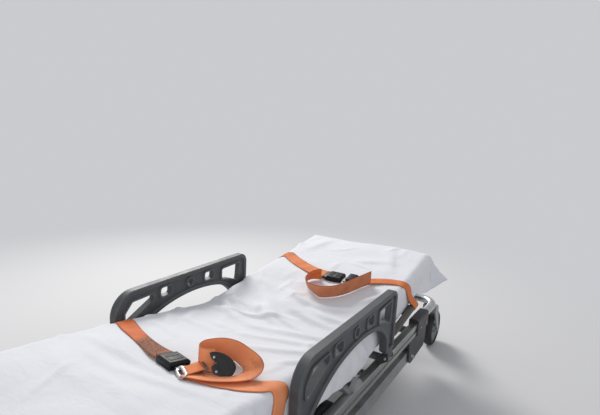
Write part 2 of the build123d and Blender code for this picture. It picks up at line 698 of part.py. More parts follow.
# Restraint straps: a band down both sides of the sheet and a slack, bowed run over its top,
# where the buckle lies. The thigh belt ends on its anchors on the rails, the chest belt on
# plates on the backrest tube.
anchor_top = RAIL_TOP + ANCHOR_H
thigh_base = on_thigh(STRAP_LEG_S, 0)
chest_base = on_back(STRAP_BACK_S, 0)
anchor_y = thigh_base[0] - (thigh_base[1] - RAIL_TOP) * tan(radians(THIGH_ANGLE))
strap_shapes = {
    "thigh": (Plane(origin=(0, *thigh_base), x_dir=(1, 0, 0), z_dir=(0, *thigh_v)),
              Plane(origin=(0, *thigh_base), x_dir=(1, 0, 0), z_dir=(0, *thigh_n)),
              Plane.XY.offset(anchor_top), THIGH_PATH, THIGH_BUCKLE),
    "chest": (Plane(origin=(0, *chest_base), x_dir=(-1, 0, 0), z_dir=(0, *back_u)),
              Plane(origin=(0, *chest_base), x_dir=(1, 0, 0), z_dir=(0, *back_n)),
              back_plane.offset(CHEST_ANCHOR_T / 2), CHEST_PATH, CHEST_BUCKLE),
}
for label, (band_plane, top_plane, low_plane, path, buckle_place) in strap_shapes.items():
    with BuildPart() as strap:
        with BuildSketch(band_plane):
            RectangleRounded(2 * (BAND_SIDE + STRAP_T), 2 * (BAND_TOP + STRAP_T), BAND_R + STRAP_T)
            RectangleRounded(2 * BAND_SIDE, 2 * BAND_TOP, BAND_R, mode=Mode.SUBTRACT)
        extrude(amount=STRAP_W / 2, both=True)
        split(bisect_by=low_plane, keep=Keep.TOP)
        with BuildSketch(top_plane):
            Rectangle(2 * STRAP_BEND_X, 2 * STRAP_W)
        extrude(amount=BAND_TOP + 2 * STRAP_T, mode=Mode.SUBTRACT)
        with BuildSketch(top_plane.offset(BAND_TOP)):
            with BuildLine():
                Spline(*path)
            trace(line_width=STRAP_W)
        extrude(amount=STRAP_T)
    strap.part.label = f"strap_{label}"
    export_step(strap.part, f"parts/strap_{label}.step")

    on_belt = Location((*buckle_place[:2], BAND_TOP + STRAP_T), (0, 0, buckle_place[2]))
    buckle_plane = Plane(top_plane.location * on_belt)
    with BuildPart() as buckle:
        with BuildSketch(buckle_plane):
            RectangleRounded(BUCKLE[0], BUCKLE[1], BUCKLE_ROUND)
        extrude(amount=BUCKLE[2])
        straight = buckle.edges().filter_by(GeomType.LINE).filter_by(lambda e: e.length > BUCKLE[2])
        fillet(straight, BUCKLE_EDGE)
        with BuildSketch(buckle_plane.offset(BUCKLE[2])):
            with Locations((BUTTON_AT, 0)):
                RectangleRounded(*BUTTON)
        extrude(amount=-BUTTON_DEEP, mode=Mode.SUBTRACT)
    buckle.part.label = f"buckle_{label}"
    export_step(buckle.part, f"parts/buckle_{label}.step")
    with BuildPart() as tongue:
        tongue_at = (BUCKLE[0] + TONGUE[0]) / 2
        with BuildSketch(buckle_plane):
            with Locations((tongue_at, 0)):
                RectangleRounded(TONGUE[0], TONGUE[1], TONGUE_ROUND)
            with Locations((tongue_at + TONGUE[0] / 2 - SLOT_EDGE, 0)):
                RectangleRounded(*TONGUE_SLOT, mode=Mode.SUBTRACT)
        extrude(amount=TONGUE[2])
    tongue.part.label = f"tongue_{label}"
    export_step(tongue.part, f"parts/tongue_{label}.step")

# Anchors of the thigh belt stand on the rails: a foot and an upright under the webbing.
with BuildPart() as thigh_anchors:
    web_x = BAND_SIDE + STRAP_T / 2
    for side in (-1, 1):
        with BuildSketch(Plane.XZ.offset(-anchor_y - ANCHOR_LEN / 2)):
            with Locations((side * RAIL_X, RAIL_TOP + PLATE_H / 2)):
                Rectangle(ANCHOR_FOOT, PLATE_H)
            with Locations((side * web_x, RAIL_TOP + ANCHOR_H / 2)):
                Rectangle(ANCHOR_T, ANCHOR_H)
        extrude(amount=ANCHOR_LEN)
    chamfer(thigh_anchors.edges().filter_by(Axis.Z), ANCHOR_EDGE)
thigh_anchors.part.label = "thigh_anchors"
export_step(thigh_anchors.part, "parts/thigh_anchors.step")

# Anchors of the chest belt are plates on the backrest tube.
with BuildPart() as chest_anchors:
    plate_in = DECK_X + CHEST_ANCHOR_LAP
    plate_out = BAND_SIDE + STRAP_T + CHEST_ANCHOR_EDGE
    with BuildSketch(back_plane.offset(-CHEST_ANCHOR_T / 2)):
        for side in (-1, 1):
            with Locations((side * (plate_in + plate_out) / 2, STRAP_BACK_S)):
                RectangleRounded(plate_out - plate_in, ANCHOR_LEN, PLATE_H)
    extrude(amount=CHEST_ANCHOR_T)
    add(back_tube.part, mode=Mode.SUBTRACT)
chest_anchors.part.label = "chest_anchors"
export_step(chest_anchors.part, "parts/chest_anchors.step")


def near(y, z):
    """A point y from the near end of a guard and z below its top."""
    return (GUARD_Y0 + y, GUARD_TOP - z)


def far(y, z):
    """A point y before the far end of a guard and z below its top."""
    return (GUARD_Y0 + GUARD_LEN - y, GUARD_TOP - z)


# The moulded side guards: a thin web inside a thick border, five windows with raised rims,
# an arch between the two legs and a tongue on each leg for the fold-down hinge.
guard_foot = GUARD_TOP - GUARD_FOOT_Z
spring = guard_foot - LEG_TALL
arch_mid = GUARD_LEN / 2 + ARCH_SHIFT
window_shapes = [[near(y, z) for y, z in NEAR_WINDOW], [far(y, z) for y, z in FAR_WINDOW]]
for side, label in ((-1, "guard_left"), (1, "guard_right")):
    with BuildPart() as guard:
        for thick, rim in ((GUARD_WEB, False), (GUARD_T, True)):
            with BuildSketch(Plane.YZ.offset(side * GUARD_X - thick / 2)) as outline:
                with BuildLine():
                    Polyline(near(LEG_NEAR, spring), near(LEG_NEAR - LEG_TAPER, guard_foot),
                             near(0, guard_foot), near(0, 0), far(0, 0), far(0, guard_foot),
                             far(LEG_FAR - LEG_TAPER, guard_foot), far(LEG_FAR, spring))
                    crown = ThreePointArc(near(arch_mid - ARCH_HALF, ARCH_SHOULDER),
                                          near(arch_mid, ARCH_CROWN),
                                          near(arch_mid + ARCH_HALF, ARCH_SHOULDER))
                    TangentArc(crown @ 0, near(LEG_NEAR, spring), tangent=-(crown % 0))
                    TangentArc(crown @ 1, far(LEG_FAR, spring), tangent=crown % 1)
                make_face()
                fillet(outline.vertices().group_by(Axis.Y)[-1].sort_by(Axis.X)[0], GUARD_NEAR_CORNER)
                fillet(outline.vertices().group_by(Axis.Y)[-1].sort_by(Axis.X)[-1], GUARD_CORNER)
                fillet([v for v in outline.vertices() if abs(v.Y - GUARD_TOP + spring) < 1],
                       GUARD_CORNER)
                fillet([v for v in outline.vertices() if v.Y < GUARD_FOOT_Z + 1], GUARD_TOE)
                if rim:
                    offset(amount=-GUARD_RIM, kind=Kind.INTERSECTION, mode=Mode.SUBTRACT)
            extrude(amount=thick)
        border = guard.faces().filter_by(Axis.X).group_by(Axis.X)
        chamfer(border[0].edges() + border[-1].edges(), GUARD_EDGE)
        for thick, grow in ((WINDOW_RIM_T, WINDOW_RIM), (GUARD_T, 0)):
            with BuildSketch(Plane.YZ.offset(side * GUARD_X - thick / 2)) as windows:
                for shape in window_shapes:
                    with BuildLine():
                        Polyline(*shape, close=True)
                    make_face()
                fillet(windows.vertices(), WINDOW_ROUND)
                with Locations(near(SLOT_NEAR, SLOT_DROP), far(SLOT_FAR, SLOT_DROP)):
                    RectangleRounded(*SLOT_HOLE)
                with Locations(near(GUARD_LEN / 2, ROUND_HOLE_DROP)):
                    Circle(ROUND_HOLE_R)
                if grow:
                    offset(amount=grow, kind=Kind.ARC)
            extrude(amount=thick, mode=Mode.ADD if grow else Mode.SUBTRACT)
        for y in TANG_Y:
            with BuildSketch(Plane.XZ.offset(-y - TANG_W / 2)):
                with Locations((side * PIN_X, PIN_Z)):
                    Circle(TANG_R)
                with Locations((side * PIN_X, GUARD_FOOT_Z + TANG_ROOT / 2)):
                    Rectangle(TANG_T, TANG_ROOT)
                make_hull()
            extrude(amount=TANG_W)
        with BuildSketch(Plane.XZ.offset(-GUARD_Y0 - GUARD_LEN)):
            with Locations((side * PIN_X, PIN_Z)):
                Circle(PIN_R + RUN)
        extrude(amount=GUARD_LEN, mode=Mode.SUBTRACT)
    guard.part.label = label
    export_step(guard.part, f"parts/{label}.step")

# Hinge blocks of the guards stand on the rails: two ears and a pin at each guard leg.
with BuildPart() as guard_hinge_blocks:
    ear_reach = TANG_W / 2 + EAR_GAP + EAR_T
    base_x = RAIL_X + RAIL_W / 2 - EAR_BASE / 2
    for side in (-1, 1):
        for y in TANG_Y:
            for y_high in (y + ear_reach, y - ear_reach + EAR_T):
                with BuildSketch(Plane.XZ.offset(-y_high)):
                    with Locations((side * PIN_X, PIN_Z)):
                        Circle(EAR_R)
                    with Locations((side * base_x, RAIL_TOP + PLATE_H / 2)):
                        Rectangle(EAR_BASE, PLATE_H)
                    make_hull()
                extrude(amount=EAR_T)
            with BuildSketch(Plane.XZ.offset(-y - ear_reach)):
                with Locations((side * base_x, RAIL_TOP + HINGE_PAD_H / 2)):
                    Rectangle(EAR_BASE, HINGE_PAD_H)
                with Locations((side * PIN_X, PIN_Z)):
                    Circle(PIN_R)
            extrude(amount=2 * ear_reach)
guard_hinge_blocks.part.label = "guard_hinge_blocks"
export_step(guard_hinge_blocks.part, "parts/guard_hinge_blocks.step")

# Front legs: two flat bars, two cross tubes, an inner plate and a stub axle at each wheel.
with BuildPart() as front_leg_frame:
    tie_y = FRONT_AXLE_Y + FRONT_R + TIE_GAP + TIE_R
    plate_x = FRONT_X - FRONT_TYRE[2] / 2 - TIE_GAP
    for side in (-1, 1):
        with BuildSketch(across(side, LEG_X - LEG_W / 2, LEG_X + LEG_W / 2)):
            with Locations(((FRONT_PIVOT_Y + FRONT_AXLE_Y) / 2, FRONT_R)):
                SlotCenterToCenter(FRONT_PIVOT_Y - FRONT_AXLE_Y, LEG_H)
            with Locations(FRONT_PIVOT):
                Circle(LEG_PIN_R + RUN, mode=Mode.SUBTRACT)
        extrude(amount=LEG_W)
        with BuildSketch(across(side, plate_x - INNER_PLATE_T / 2, plate_x + INNER_PLATE_T / 2)):
            with Locations(((FRONT_AXLE_Y + tie_y) / 2, FRONT_R)):
                SlotCenterToCenter(tie_y - FRONT_AXLE_Y, INNER_PLATE_H)
        extrude(amount=INNER_PLATE_T)
        with BuildSketch(across(side, plate_x - INNER_PLATE_T / 2, LEG_X)):
            with Locations(FRONT_AXLE):
                Circle(FRONT_PIN_R)
        extrude(amount=LEG_X - plate_x + INNER_PLATE_T / 2)
    with BuildSketch(Plane.YZ.offset(-LEG_X)):
        with Locations((tie_y, FRONT_R)):
            Circle(TIE_R)
        with Locations((FRONT_BRACE_Y, FRONT_R)):
            Circle(BRACE_R)
    extrude(amount=2 * LEG_X)
front_leg_frame.part.label = "front_leg_frame"
export_step(front_leg_frame.part, "parts/front_leg_frame.step")

# Stations along the swivel axis of a caster, counted from the foot of the stem line.
stem_y = CASTER_AXLE[0] - CASTER_TRAIL * cast_n[0]
stem_z = CASTER_AXLE[1] - CASTER_TRAIL * cast_n[1]
crown_low = CASTER_R + CROWN_GAP
house_low = crown_low + CROWN_T + HOUSE_GAP
house_high = house_low + HOUSE_LEN
nut_low = house_high + HOUSE_GAP


def on_stem(side, s):
    """The plane square to a caster's swivel axis at the station s."""
    return Plane(origin=(side * CASTER_X, stem_y + s * cast_d[0], stem_z + s * cast_d[1]),
                 z_dir=(0, *cast_d))


# Rear legs: bars that run down to the upright bearings of the two casters.
house_y = stem_y + (house_low + house_high) / 2 * cast_d[0]
house_z = stem_z + (house_low + house_high) / 2 * cast_d[1]
rear_len = hypot(REAR_PIVOT[0] - house_y, REAR_PIVOT[1] - house_z)
rear_turn = atan2(REAR_PIVOT[1] - house_z, REAR_PIVOT[0] - house_y)
with BuildPart() as rear_leg_frame:
    for side in (-1, 1):
        with BuildSketch(across(side, LEG_X - LEG_W / 2, LEG_X + LEG_W / 2)):
            with Locations(((REAR_PIVOT[0] + house_y) / 2, (REAR_PIVOT[1] + house_z) / 2)):
                SlotCenterToCenter(rear_len, LEG_H, rotation=degrees(rear_turn))
            with Locations(REAR_PIVOT):
                Circle(LEG_PIN_R + RUN, mode=Mode.SUBTRACT)
        extrude(amount=LEG_W)
    with BuildSketch(Plane.YZ.offset(-LEG_X)):
        with Locations((house_y, house_z)):
            Circle(TIE_R)
        with Locations((REAR_BRACE_Y, REAR_PIVOT[1] + (REAR_BRACE_Y - REAR_PIVOT[0]) * tan(rear_turn))):
            Circle(BRACE_R)
    extrude(amount=2 * LEG_X)
    for side in (-1, 1):
        with BuildSketch(on_stem(side, house_low)):
            Circle(HOUSE_R)
        extrude(amount=HOUSE_LEN)
    for side in (-1, 1):
        with BuildSketch(on_stem(side, house_low)):
            Circle(LEG_PIN_R + RUN)
        extrude(amount=HOUSE_LEN, mode=Mode.SUBTRACT)
rear_leg_frame.part.label = "rear_leg_frame"
export_step(rear_leg_frame.part, "parts/rear_leg_frame.step")

# Caster forks: stem, crown, two cheeks and the axle.
cheek_in = REAR_TYRE[2] / 2 + HUB_GAP
for side, label in ((-1, "caster_fork_left"), (1, "caster_fork_right")):
    side_plane = Plane(origin=(side * CASTER_X, stem_y, stem_z), x_dir=(0, *cast_d), z_dir=(1, 0, 0))
    crown_mid = (crown_low + CROWN_T / 2, 0)
    axle_mid = (0, CASTER_TRAIL)
    with BuildPart() as caster_fork:
        for x_low in (-cheek_in - CHEEK_T, cheek_in):
            with BuildSketch(side_plane.offset(x_low)):
                with Locations(crown_mid):
                    Rectangle(CROWN_T, CROWN_W)
                with Locations(axle_mid):
                    Circle(CHEEK_BOSS_R)
                make_hull()
            extrude(amount=CHEEK_T)
        with BuildSketch(side_plane.offset(-cheek_in - CHEEK_T)):
            with Locations(crown_mid):
                Rectangle(CROWN_T, CROWN_W)
            with Locations(axle_mid):
                Circle(CASTER_PIN_R)
        extrude(amount=2 * (cheek_in + CHEEK_T))
        with BuildSketch(on_stem(side, crown_low + CROWN_T / 2)):
            Circle(LEG_PIN_R)
        extrude(amount=nut_low - crown_low - CROWN_T / 2)
        with BuildSketch(on_stem(side, nut_low)):
            RegularPolygon(NUT_R, 6)
        extrude(amount=NUT_T)
    caster_fork.part.label = label
    export_step(caster_fork.part, f"parts/{label}.step")

# Wheels: name, half track, axle, outer radius, tyre and hub widths, axle radius, holes in the disc.
wheels = [
    ("front", FRONT_X, FRONT_AXLE, FRONT_R, FRONT_TYRE, FRONT_PIN_R, DISC_HOLES),
    ("rear", CASTER_X, CASTER_AXLE, CASTER_R, REAR_TYRE, CASTER_PIN_R, 0),
    ("loading", LOAD_X, LOAD_AXLE, LOAD_R, LOAD_TYRE, LOAD_PIN_R, 0),
]
for kind, wheel_x, (wheel_y, wheel_z), radius, (tyre_t, tyre_w, hub_w), axle, holes in wheels:
    rim = radius - tyre_t
    w = tyre_w / 2
    flat = w * TYRE_FLAT_SHARE
    bulge = w * TYRE_MID_SHARE
    h = hub_w / 2
    shoulder = radius - TYRE_SHOULDER
    disc_r = rim - RIM_DISH
    for side, hand in ((-1, "left"), (1, "right")):
        wheel_plane = Plane(origin=(side * wheel_x, wheel_y, wheel_z), x_dir=(1, 0, 0), z_dir=(0, -1, 0))
        wheel_axis = Axis((side * wheel_x, wheel_y, wheel_z), (1, 0, 0))
        with BuildPart() as tyre:
            with BuildSketch(wheel_plane):
                with BuildLine():
                    Polyline((-w, shoulder), (-w, rim), (w, rim), (w, shoulder))
                    ThreePointArc((w, shoulder), (bulge, radius - TYRE_CROWN), (flat, radius))
                    Line((flat, radius), (-flat, radius))
                    ThreePointArc((-flat, radius), (-bulge, radius - TYRE_CROWN), (-w, shoulder))
                make_face()
            revolve(axis=wheel_axis)
        tyre.part.label = f"{kind}_tyre_{hand}"
        export_step(tyre.part, f"parts/{kind}_tyre_{hand}.step")
        with BuildPart() as hub:
            with BuildSketch(wheel_plane):
                with BuildLine():
                    Polyline((-h, axle + RUN), (h, axle + RUN), (h, BOSS_R), (DISC_HALF, BOSS_ROOT_R),
                             (DISC_HALF, disc_r), (w - RIM_T, rim - RIM_T), (w - RIM_T, rim),
                             (RIM_T - w, rim), (RIM_T - w, rim - RIM_T), (-DISC_HALF, disc_r),
                             (-DISC_HALF, BOSS_ROOT_R), (-h, BOSS_R), close=True)
                make_face()
            revolve(axis=wheel_axis)
            if holes:
                with BuildSketch(Plane.YZ.offset(side * wheel_x - DISC_HALF)):
                    with Locations((wheel_y, wheel_z)):
                        with PolarLocations((disc_r + BOSS_ROOT_R) / 2, holes, start_angle=90):
                            Circle((disc_r - BOSS_ROOT_R) * DISC_HOLE_SHARE)
                extrude(amount=2 * DISC_HALF, mode=Mode.SUBTRACT)
        hub.part.label = f"{kind}_hub_{hand}"
        export_step(hub.part, f"parts/{kind}_hub_{hand}.step")
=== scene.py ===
# %% [markdown]
# An ambulance stretcher, folded low, the way a crew leaves it ready for the next call. The model of the
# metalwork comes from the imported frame. This lesson dresses it: light, finishes, bedding and belts.
# Everything is in metres, +Y points to the head end and the floor is at zero.

# %% Load the frame
import json
import math
import bpy
import numpy as np
from mathutils import Matrix, Vector
from mathutils.bvhtree import BVHTree


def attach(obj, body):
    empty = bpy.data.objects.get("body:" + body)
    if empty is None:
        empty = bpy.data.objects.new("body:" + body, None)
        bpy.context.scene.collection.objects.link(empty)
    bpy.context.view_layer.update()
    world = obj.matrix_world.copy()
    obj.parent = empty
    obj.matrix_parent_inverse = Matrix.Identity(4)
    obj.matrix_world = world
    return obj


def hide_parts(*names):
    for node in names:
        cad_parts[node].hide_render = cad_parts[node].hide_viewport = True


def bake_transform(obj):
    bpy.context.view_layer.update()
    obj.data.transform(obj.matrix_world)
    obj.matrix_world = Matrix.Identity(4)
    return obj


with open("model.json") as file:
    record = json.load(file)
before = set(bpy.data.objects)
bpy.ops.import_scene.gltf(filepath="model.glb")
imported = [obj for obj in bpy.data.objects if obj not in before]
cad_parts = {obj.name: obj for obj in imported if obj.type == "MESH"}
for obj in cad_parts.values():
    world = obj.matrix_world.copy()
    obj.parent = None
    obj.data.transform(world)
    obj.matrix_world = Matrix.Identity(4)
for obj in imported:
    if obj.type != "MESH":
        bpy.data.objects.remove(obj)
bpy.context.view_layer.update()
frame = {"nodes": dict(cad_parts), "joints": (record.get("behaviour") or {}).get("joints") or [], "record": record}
nodes = frame["nodes"]

# %% [markdown]
# The bed has three flat sections: the calf, the thigh and the backrest. The backrest's hinge is read from
# the frame, so that bedding and belts land on the real deck. A "run" is a distance along the deck from
# the hinge, positive towards the head. Soft things can't turn a sharp corner, so the upper side of the
# bedding follows the same line with its two bends rounded off, while the underside stays on the deck.

# %% Line of the bedding
HIP = Vector(next(j["pos_m"] for j in frame["joints"] if j["name"] == "backrest_tilt"))
BACK, THIGH, CALF = math.radians(8.57), math.radians(8.8), math.radians(7.4)
KNEE_RUN = 0.6233
FOOT_RUN = KNEE_RUN + 0.4961
HEAD_RUN = 0.685
HALF = 0.258
LOW, HIGH = 0.0143, 0.0943
BEND = 0.075


def deck_line(run):
    """Points (y, z) on the tube line of the deck."""
    run = np.asarray(run, float)
    back = np.clip(run, 0, None)
    thigh = np.clip(run, -KNEE_RUN, 0)
    calf = np.clip(run + KNEE_RUN, None, 0)
    y = HIP.y + back * math.cos(BACK) + thigh * math.cos(THIGH) + calf * math.cos(CALF)
    z = HIP.z + back * math.sin(BACK) - thigh * math.sin(THIGH) + calf * math.sin(CALF)
    return np.stack([y, z], -1)


def bedding_line(run):
    """The deck's line with rounded bends, and its slope."""
    run = np.asarray(run, float)
    line = deck_line(run)
    slope = np.where(run >= 0, BACK, np.where(run >= -KNEE_RUN, -THIGH, CALF))
    for corner in (0.0, -KNEE_RUN):
        start, middle, end = deck_line(corner - BEND), deck_line(corner), deck_line(corner + BEND)
        f = np.clip((run - corner + BEND) / (2 * BEND), 0, 1)[..., None]
        curve = (1 - f) ** 2 * start + 2 * f * (1 - f) * middle + f * f * end
        way = (1 - f) * (middle - start) + f * (end - middle)
        inside = np.abs(run - corner) < BEND
        line = np.where(inside[..., None], curve, line)
        slope = np.where(inside, np.arctan2(way[..., 1], way[..., 0]), slope)
    return line, slope


def bed(x, run, t):
    """Points of the bedding: x across, a run along the deck and t above its tubes."""
    x, run, t = np.broadcast_arrays(np.asarray(x, float), np.asarray(run, float), np.asarray(t, float))
    soft, slope = bedding_line(run)
    lift = np.clip((t - LOW) / (HIGH - LOW), 0, 1)[..., None]
    line = deck_line(run) * (1 - lift) + soft * lift
    return np.stack([x, line[..., 0] - t * np.sin(slope), line[..., 1] + t * np.cos(slope)], -1)


def run_of(y):
    """The run of a point on top of the bedding, from its y."""
    y = np.asarray(y, float)
    back = (y - HIP.y + HIGH * math.sin(BACK)) / math.cos(BACK)
    thigh = (y - HIP.y - HIGH * math.sin(THIGH)) / math.cos(THIGH)
    return np.where(y > HIP.y, back, thigh)


print("bed runs from", -FOOT_RUN, "to", HEAD_RUN)

# %% [markdown]
# The camera stands over the right side of the foot end and looks along the bed, as the photographer did.
# Three small angles and a 27 mm lens give the same view. A matrix of its right, up and backward
# directions places it without any tracking constraint.

# %% Camera
EYE, LENS = (0.710, -0.914, 0.899), 27.3
YAW, PITCH, ROLL = math.radians(-31.6), math.radians(10.5), math.radians(2.7)
ahead = Vector((math.sin(YAW) * math.cos(PITCH), math.cos(YAW) * math.cos(PITCH), -math.sin(PITCH)))
level = Vector((math.cos(YAW), -math.sin(YAW), 0))
lifted = level.cross(ahead)
right = level * math.cos(ROLL) + lifted * math.sin(ROLL)
up = lifted * math.cos(ROLL) - level * math.sin(ROLL)
bpy.ops.object.camera_add(location=(0, 0, 0))
camera = bpy.context.object
camera.data.lens = LENS
camera.data.sensor_width = 36.0
camera.data.clip_start = 0.01
camera.matrix_world = Matrix.Translation(EYE) @ Matrix((right, up, -ahead)).transposed().to_4x4()
bpy.context.scene.camera = camera
print("camera looks along", [round(v, 3) for v in ahead])

# %% [markdown]
# Every material below is a small graph of nodes. These helpers make one node each: its settings, then its
# inputs. An input that is the output of another node is linked, and anything else is set as a value.

# %% Node helpers
def set_inputs(tree, node, inputs):
    """Link or set inputs, given by name or number."""
    for slot, value in inputs.items():
        if isinstance(value, bpy.types.NodeSocket):
            tree.links.new(value, node.inputs[slot])
        else:
            node.inputs[slot].default_value = value


def add_node(tree, kind, inputs, **settings):
    """A shader node with its settings and inputs."""
    node = tree.nodes.new("ShaderNode" + kind)
    for name, value in settings.items():
        setattr(node, name, value)
    set_inputs(tree, node, inputs)
    return node


def new_look(name):
    """An empty material, its node tree, its shader and its texture coordinates."""
    look = bpy.data.materials.new(name)
    look.use_nodes = True
    tree = look.node_tree
    return look, tree, tree.nodes["Principled BSDF"], add_node(tree, "TexCoord", {}).outputs


def noise(tree, vector, scale, detail, roughness=0.5, distortion=0.0):
    """A cloudy value between 0 and 1."""
    inputs = {"Vector": vector, "Scale": scale, "Detail": detail, "Roughness": roughness,
              "Distortion": distortion}
    return add_node(tree, "TexNoise", inputs).outputs["Fac"]


def wave(tree, vector, scale, direction, distortion=0.0):
    """Bands between 0 and 1, across a direction."""
    inputs = {"Vector": vector, "Scale": scale, "Distortion": distortion}
    return add_node(tree, "TexWave", inputs, bands_direction=direction).outputs["Fac"]


def remap(tree, value, source, target=(0.0, 1.0), kind="LINEAR"):
    """A value moved from one range to another."""
    inputs = {"Value": value, "From Min": source[0], "From Max": source[1],
              "To Min": target[0], "To Max": target[1]}
    return add_node(tree, "MapRange", inputs, interpolation_type=kind).outputs["Result"]


def maths(tree, operation, *values):
    """The result of one operation on values."""
    return add_node(tree, "Math", dict(enumerate(values)), operation=operation).outputs["Value"]


def ramp(tree, value, dark, light, places=(0.0, 1.0)):
    """A colour between two tones."""
    node = add_node(tree, "ValToRGB", {"Fac": value})
    for stop, tone, place in zip(node.color_ramp.elements, (dark, light), places):
        stop.color = (*tone, 1)
        stop.position = place
    return node.outputs["Color"]


def mix_colours(tree, factor, first, second):
    """A colour from the graph, mixed with a plain one."""
    inputs = {"Factor": factor, "A": first, "B": (*second, 1)}
    return add_node(tree, "Mix", inputs, data_type="RGBA").outputs["Result"]


def bumped(tree, height, strength, distance, **under):
    """A normal raised by a height."""
    inputs = {"Height": height, "Strength": strength, "Distance": distance, **under}
    return add_node(tree, "Bump", inputs).outputs["Normal"]


print("node helpers ready")

# %% [markdown]
# The studio is a pale floor and a large soft light overhead, with a weaker one from the foot end on the
# right. The sky gives the rest. The camera sees a brighter sky than the one that lights the scene, so the
# background stays white while the sheet keeps its shades. The floor fades into the same tone.

# %% Floor and light
SKY_TINT = (0.95, 0.965, 1.0, 1)
SKY_LIGHT, SKY_SEEN = 0.56, 0.62
FADE_FROM, FADE_TO = 1.1, 2.9
scene = bpy.context.scene
scene.view_settings.view_transform = "Standard"
bpy.ops.mesh.primitive_plane_add(size=40, location=(0, 0, 0))
floor = bpy.context.object
floor.name = "floor"
floor_look, tree, shader, place = new_look("floor")
set_inputs(tree, shader, {"Base Color": (0.60, 0.60, 0.61, 1), "Roughness": 0.75})
away = add_node(tree, "VectorMath", {0: place["Object"]}, operation="LENGTH").outputs["Value"]
glow = add_node(tree, "Emission", {"Color": SKY_TINT, "Strength": SKY_SEEN})
faded = add_node(tree, "MixShader", {"Fac": remap(tree, away, (FADE_FROM, FADE_TO), kind="SMOOTHSTEP"),
                                     1: shader.outputs["BSDF"], 2: glow.outputs["Emission"]})
set_inputs(tree, tree.nodes["Material Output"], {"Surface": faded.outputs["Shader"]})
floor.data.materials.append(floor_look)

scene.world = bpy.data.worlds.new("studio")
scene.world.use_nodes = True
sky = scene.world.node_tree
rays = add_node(sky, "LightPath", {})
strength = add_node(sky, "Mix", {"Factor": rays.outputs["Is Camera Ray"], "A": SKY_LIGHT, "B": SKY_SEEN})
set_inputs(sky, sky.nodes["Background"], {"Strength": strength.outputs["Result"], "Color": SKY_TINT})


def softbox(name, place, aim, size, power, tint):
    """A square area light at a place, turned towards a point."""
    bpy.ops.object.light_add(type="AREA", location=place)
    light = bpy.context.object
    light.name = name
    light.data.size = size
    light.data.energy = power
    light.data.color = tint
    light.rotation_euler = (Vector(aim) - Vector(place)).to_track_quat("-Z", "Y").to_euler()


softbox("overhead", (-3.6, 2.9, 3.4), (0, 0.0, 0.3), 2.2, 250, (1.0, 0.98, 0.95))
softbox("side", (1.7, -2.7, 1.5), (0, 0.1, 0.3), 1.6, 17, (0.95, 0.97, 1.0))

# %% [markdown]
# Nothing on a working stretcher is one flat colour. This helper builds a finish from three layers: a
# cloudy mix of two tones that also moves the gloss, a fine grain, and a lighter tone on the edges, which is
# wear on most finishes and a painted highlight on the guard moulding.
# The Bevel node gives the smoothed normal near an edge, and its difference from the true normal finds
# the edges without any painting.

# %% Finish helper
TONE_SPAN, GLOSS_SPAN = (0.32, 0.7), (0.3, 0.7)
EDGE_SPAN = (0.985, 0.9)
GRAIN_STRENGTH = 0.35
PATCH_SCALE = 55.0


def finish(name, dark, light, rough, metal=0.0, grain=(40, 40, 40), bump=0.0004, wear_and_highlight=None, reach=0.0015,
           edge_amount=0.5, fine=900):
    """A finish. rough is (lowest, highest), grain the stretch of the tones per metre, edge_amount how far the
    edges go towards the tone wear_and_highlight (wear on most finishes, a painted highlight on the guard
    moulding), and reach how far from an edge that shows."""
    look, tree, shader, place = new_look(name)
    stretched = add_node(tree, "Mapping", {"Vector": place["Object"], "Scale": grain}).outputs["Vector"]
    cloud = noise(tree, stretched, 1.0, 5.0, 0.6)
    colour = ramp(tree, cloud, dark, light, TONE_SPAN)
    speck = noise(tree, place["Object"], fine, 3.0)
    # lighter edges: wear on most finishes, a painted highlight on the guard moulding
    if wear_and_highlight:
        soft = add_node(tree, "Bevel", {"Radius": reach}, samples=4).outputs["Normal"]
        true = add_node(tree, "NewGeometry", {}).outputs["Normal"]
        match = add_node(tree, "VectorMath", {0: soft, 1: true}, operation="DOT_PRODUCT").outputs["Value"]
        edge = remap(tree, match, EDGE_SPAN, (0.0, edge_amount))
        where = maths(tree, "MULTIPLY", edge, noise(tree, place["Object"], PATCH_SCALE, 4.0))
        colour = mix_colours(tree, where, colour, wear_and_highlight)
    set_inputs(tree, shader, {"Metallic": metal, "Roughness": remap(tree, cloud, GLOSS_SPAN, rough),
                              "Normal": bumped(tree, speck, GRAIN_STRENGTH, bump), "Base Color": colour})
    return look


print("finish helper ready")
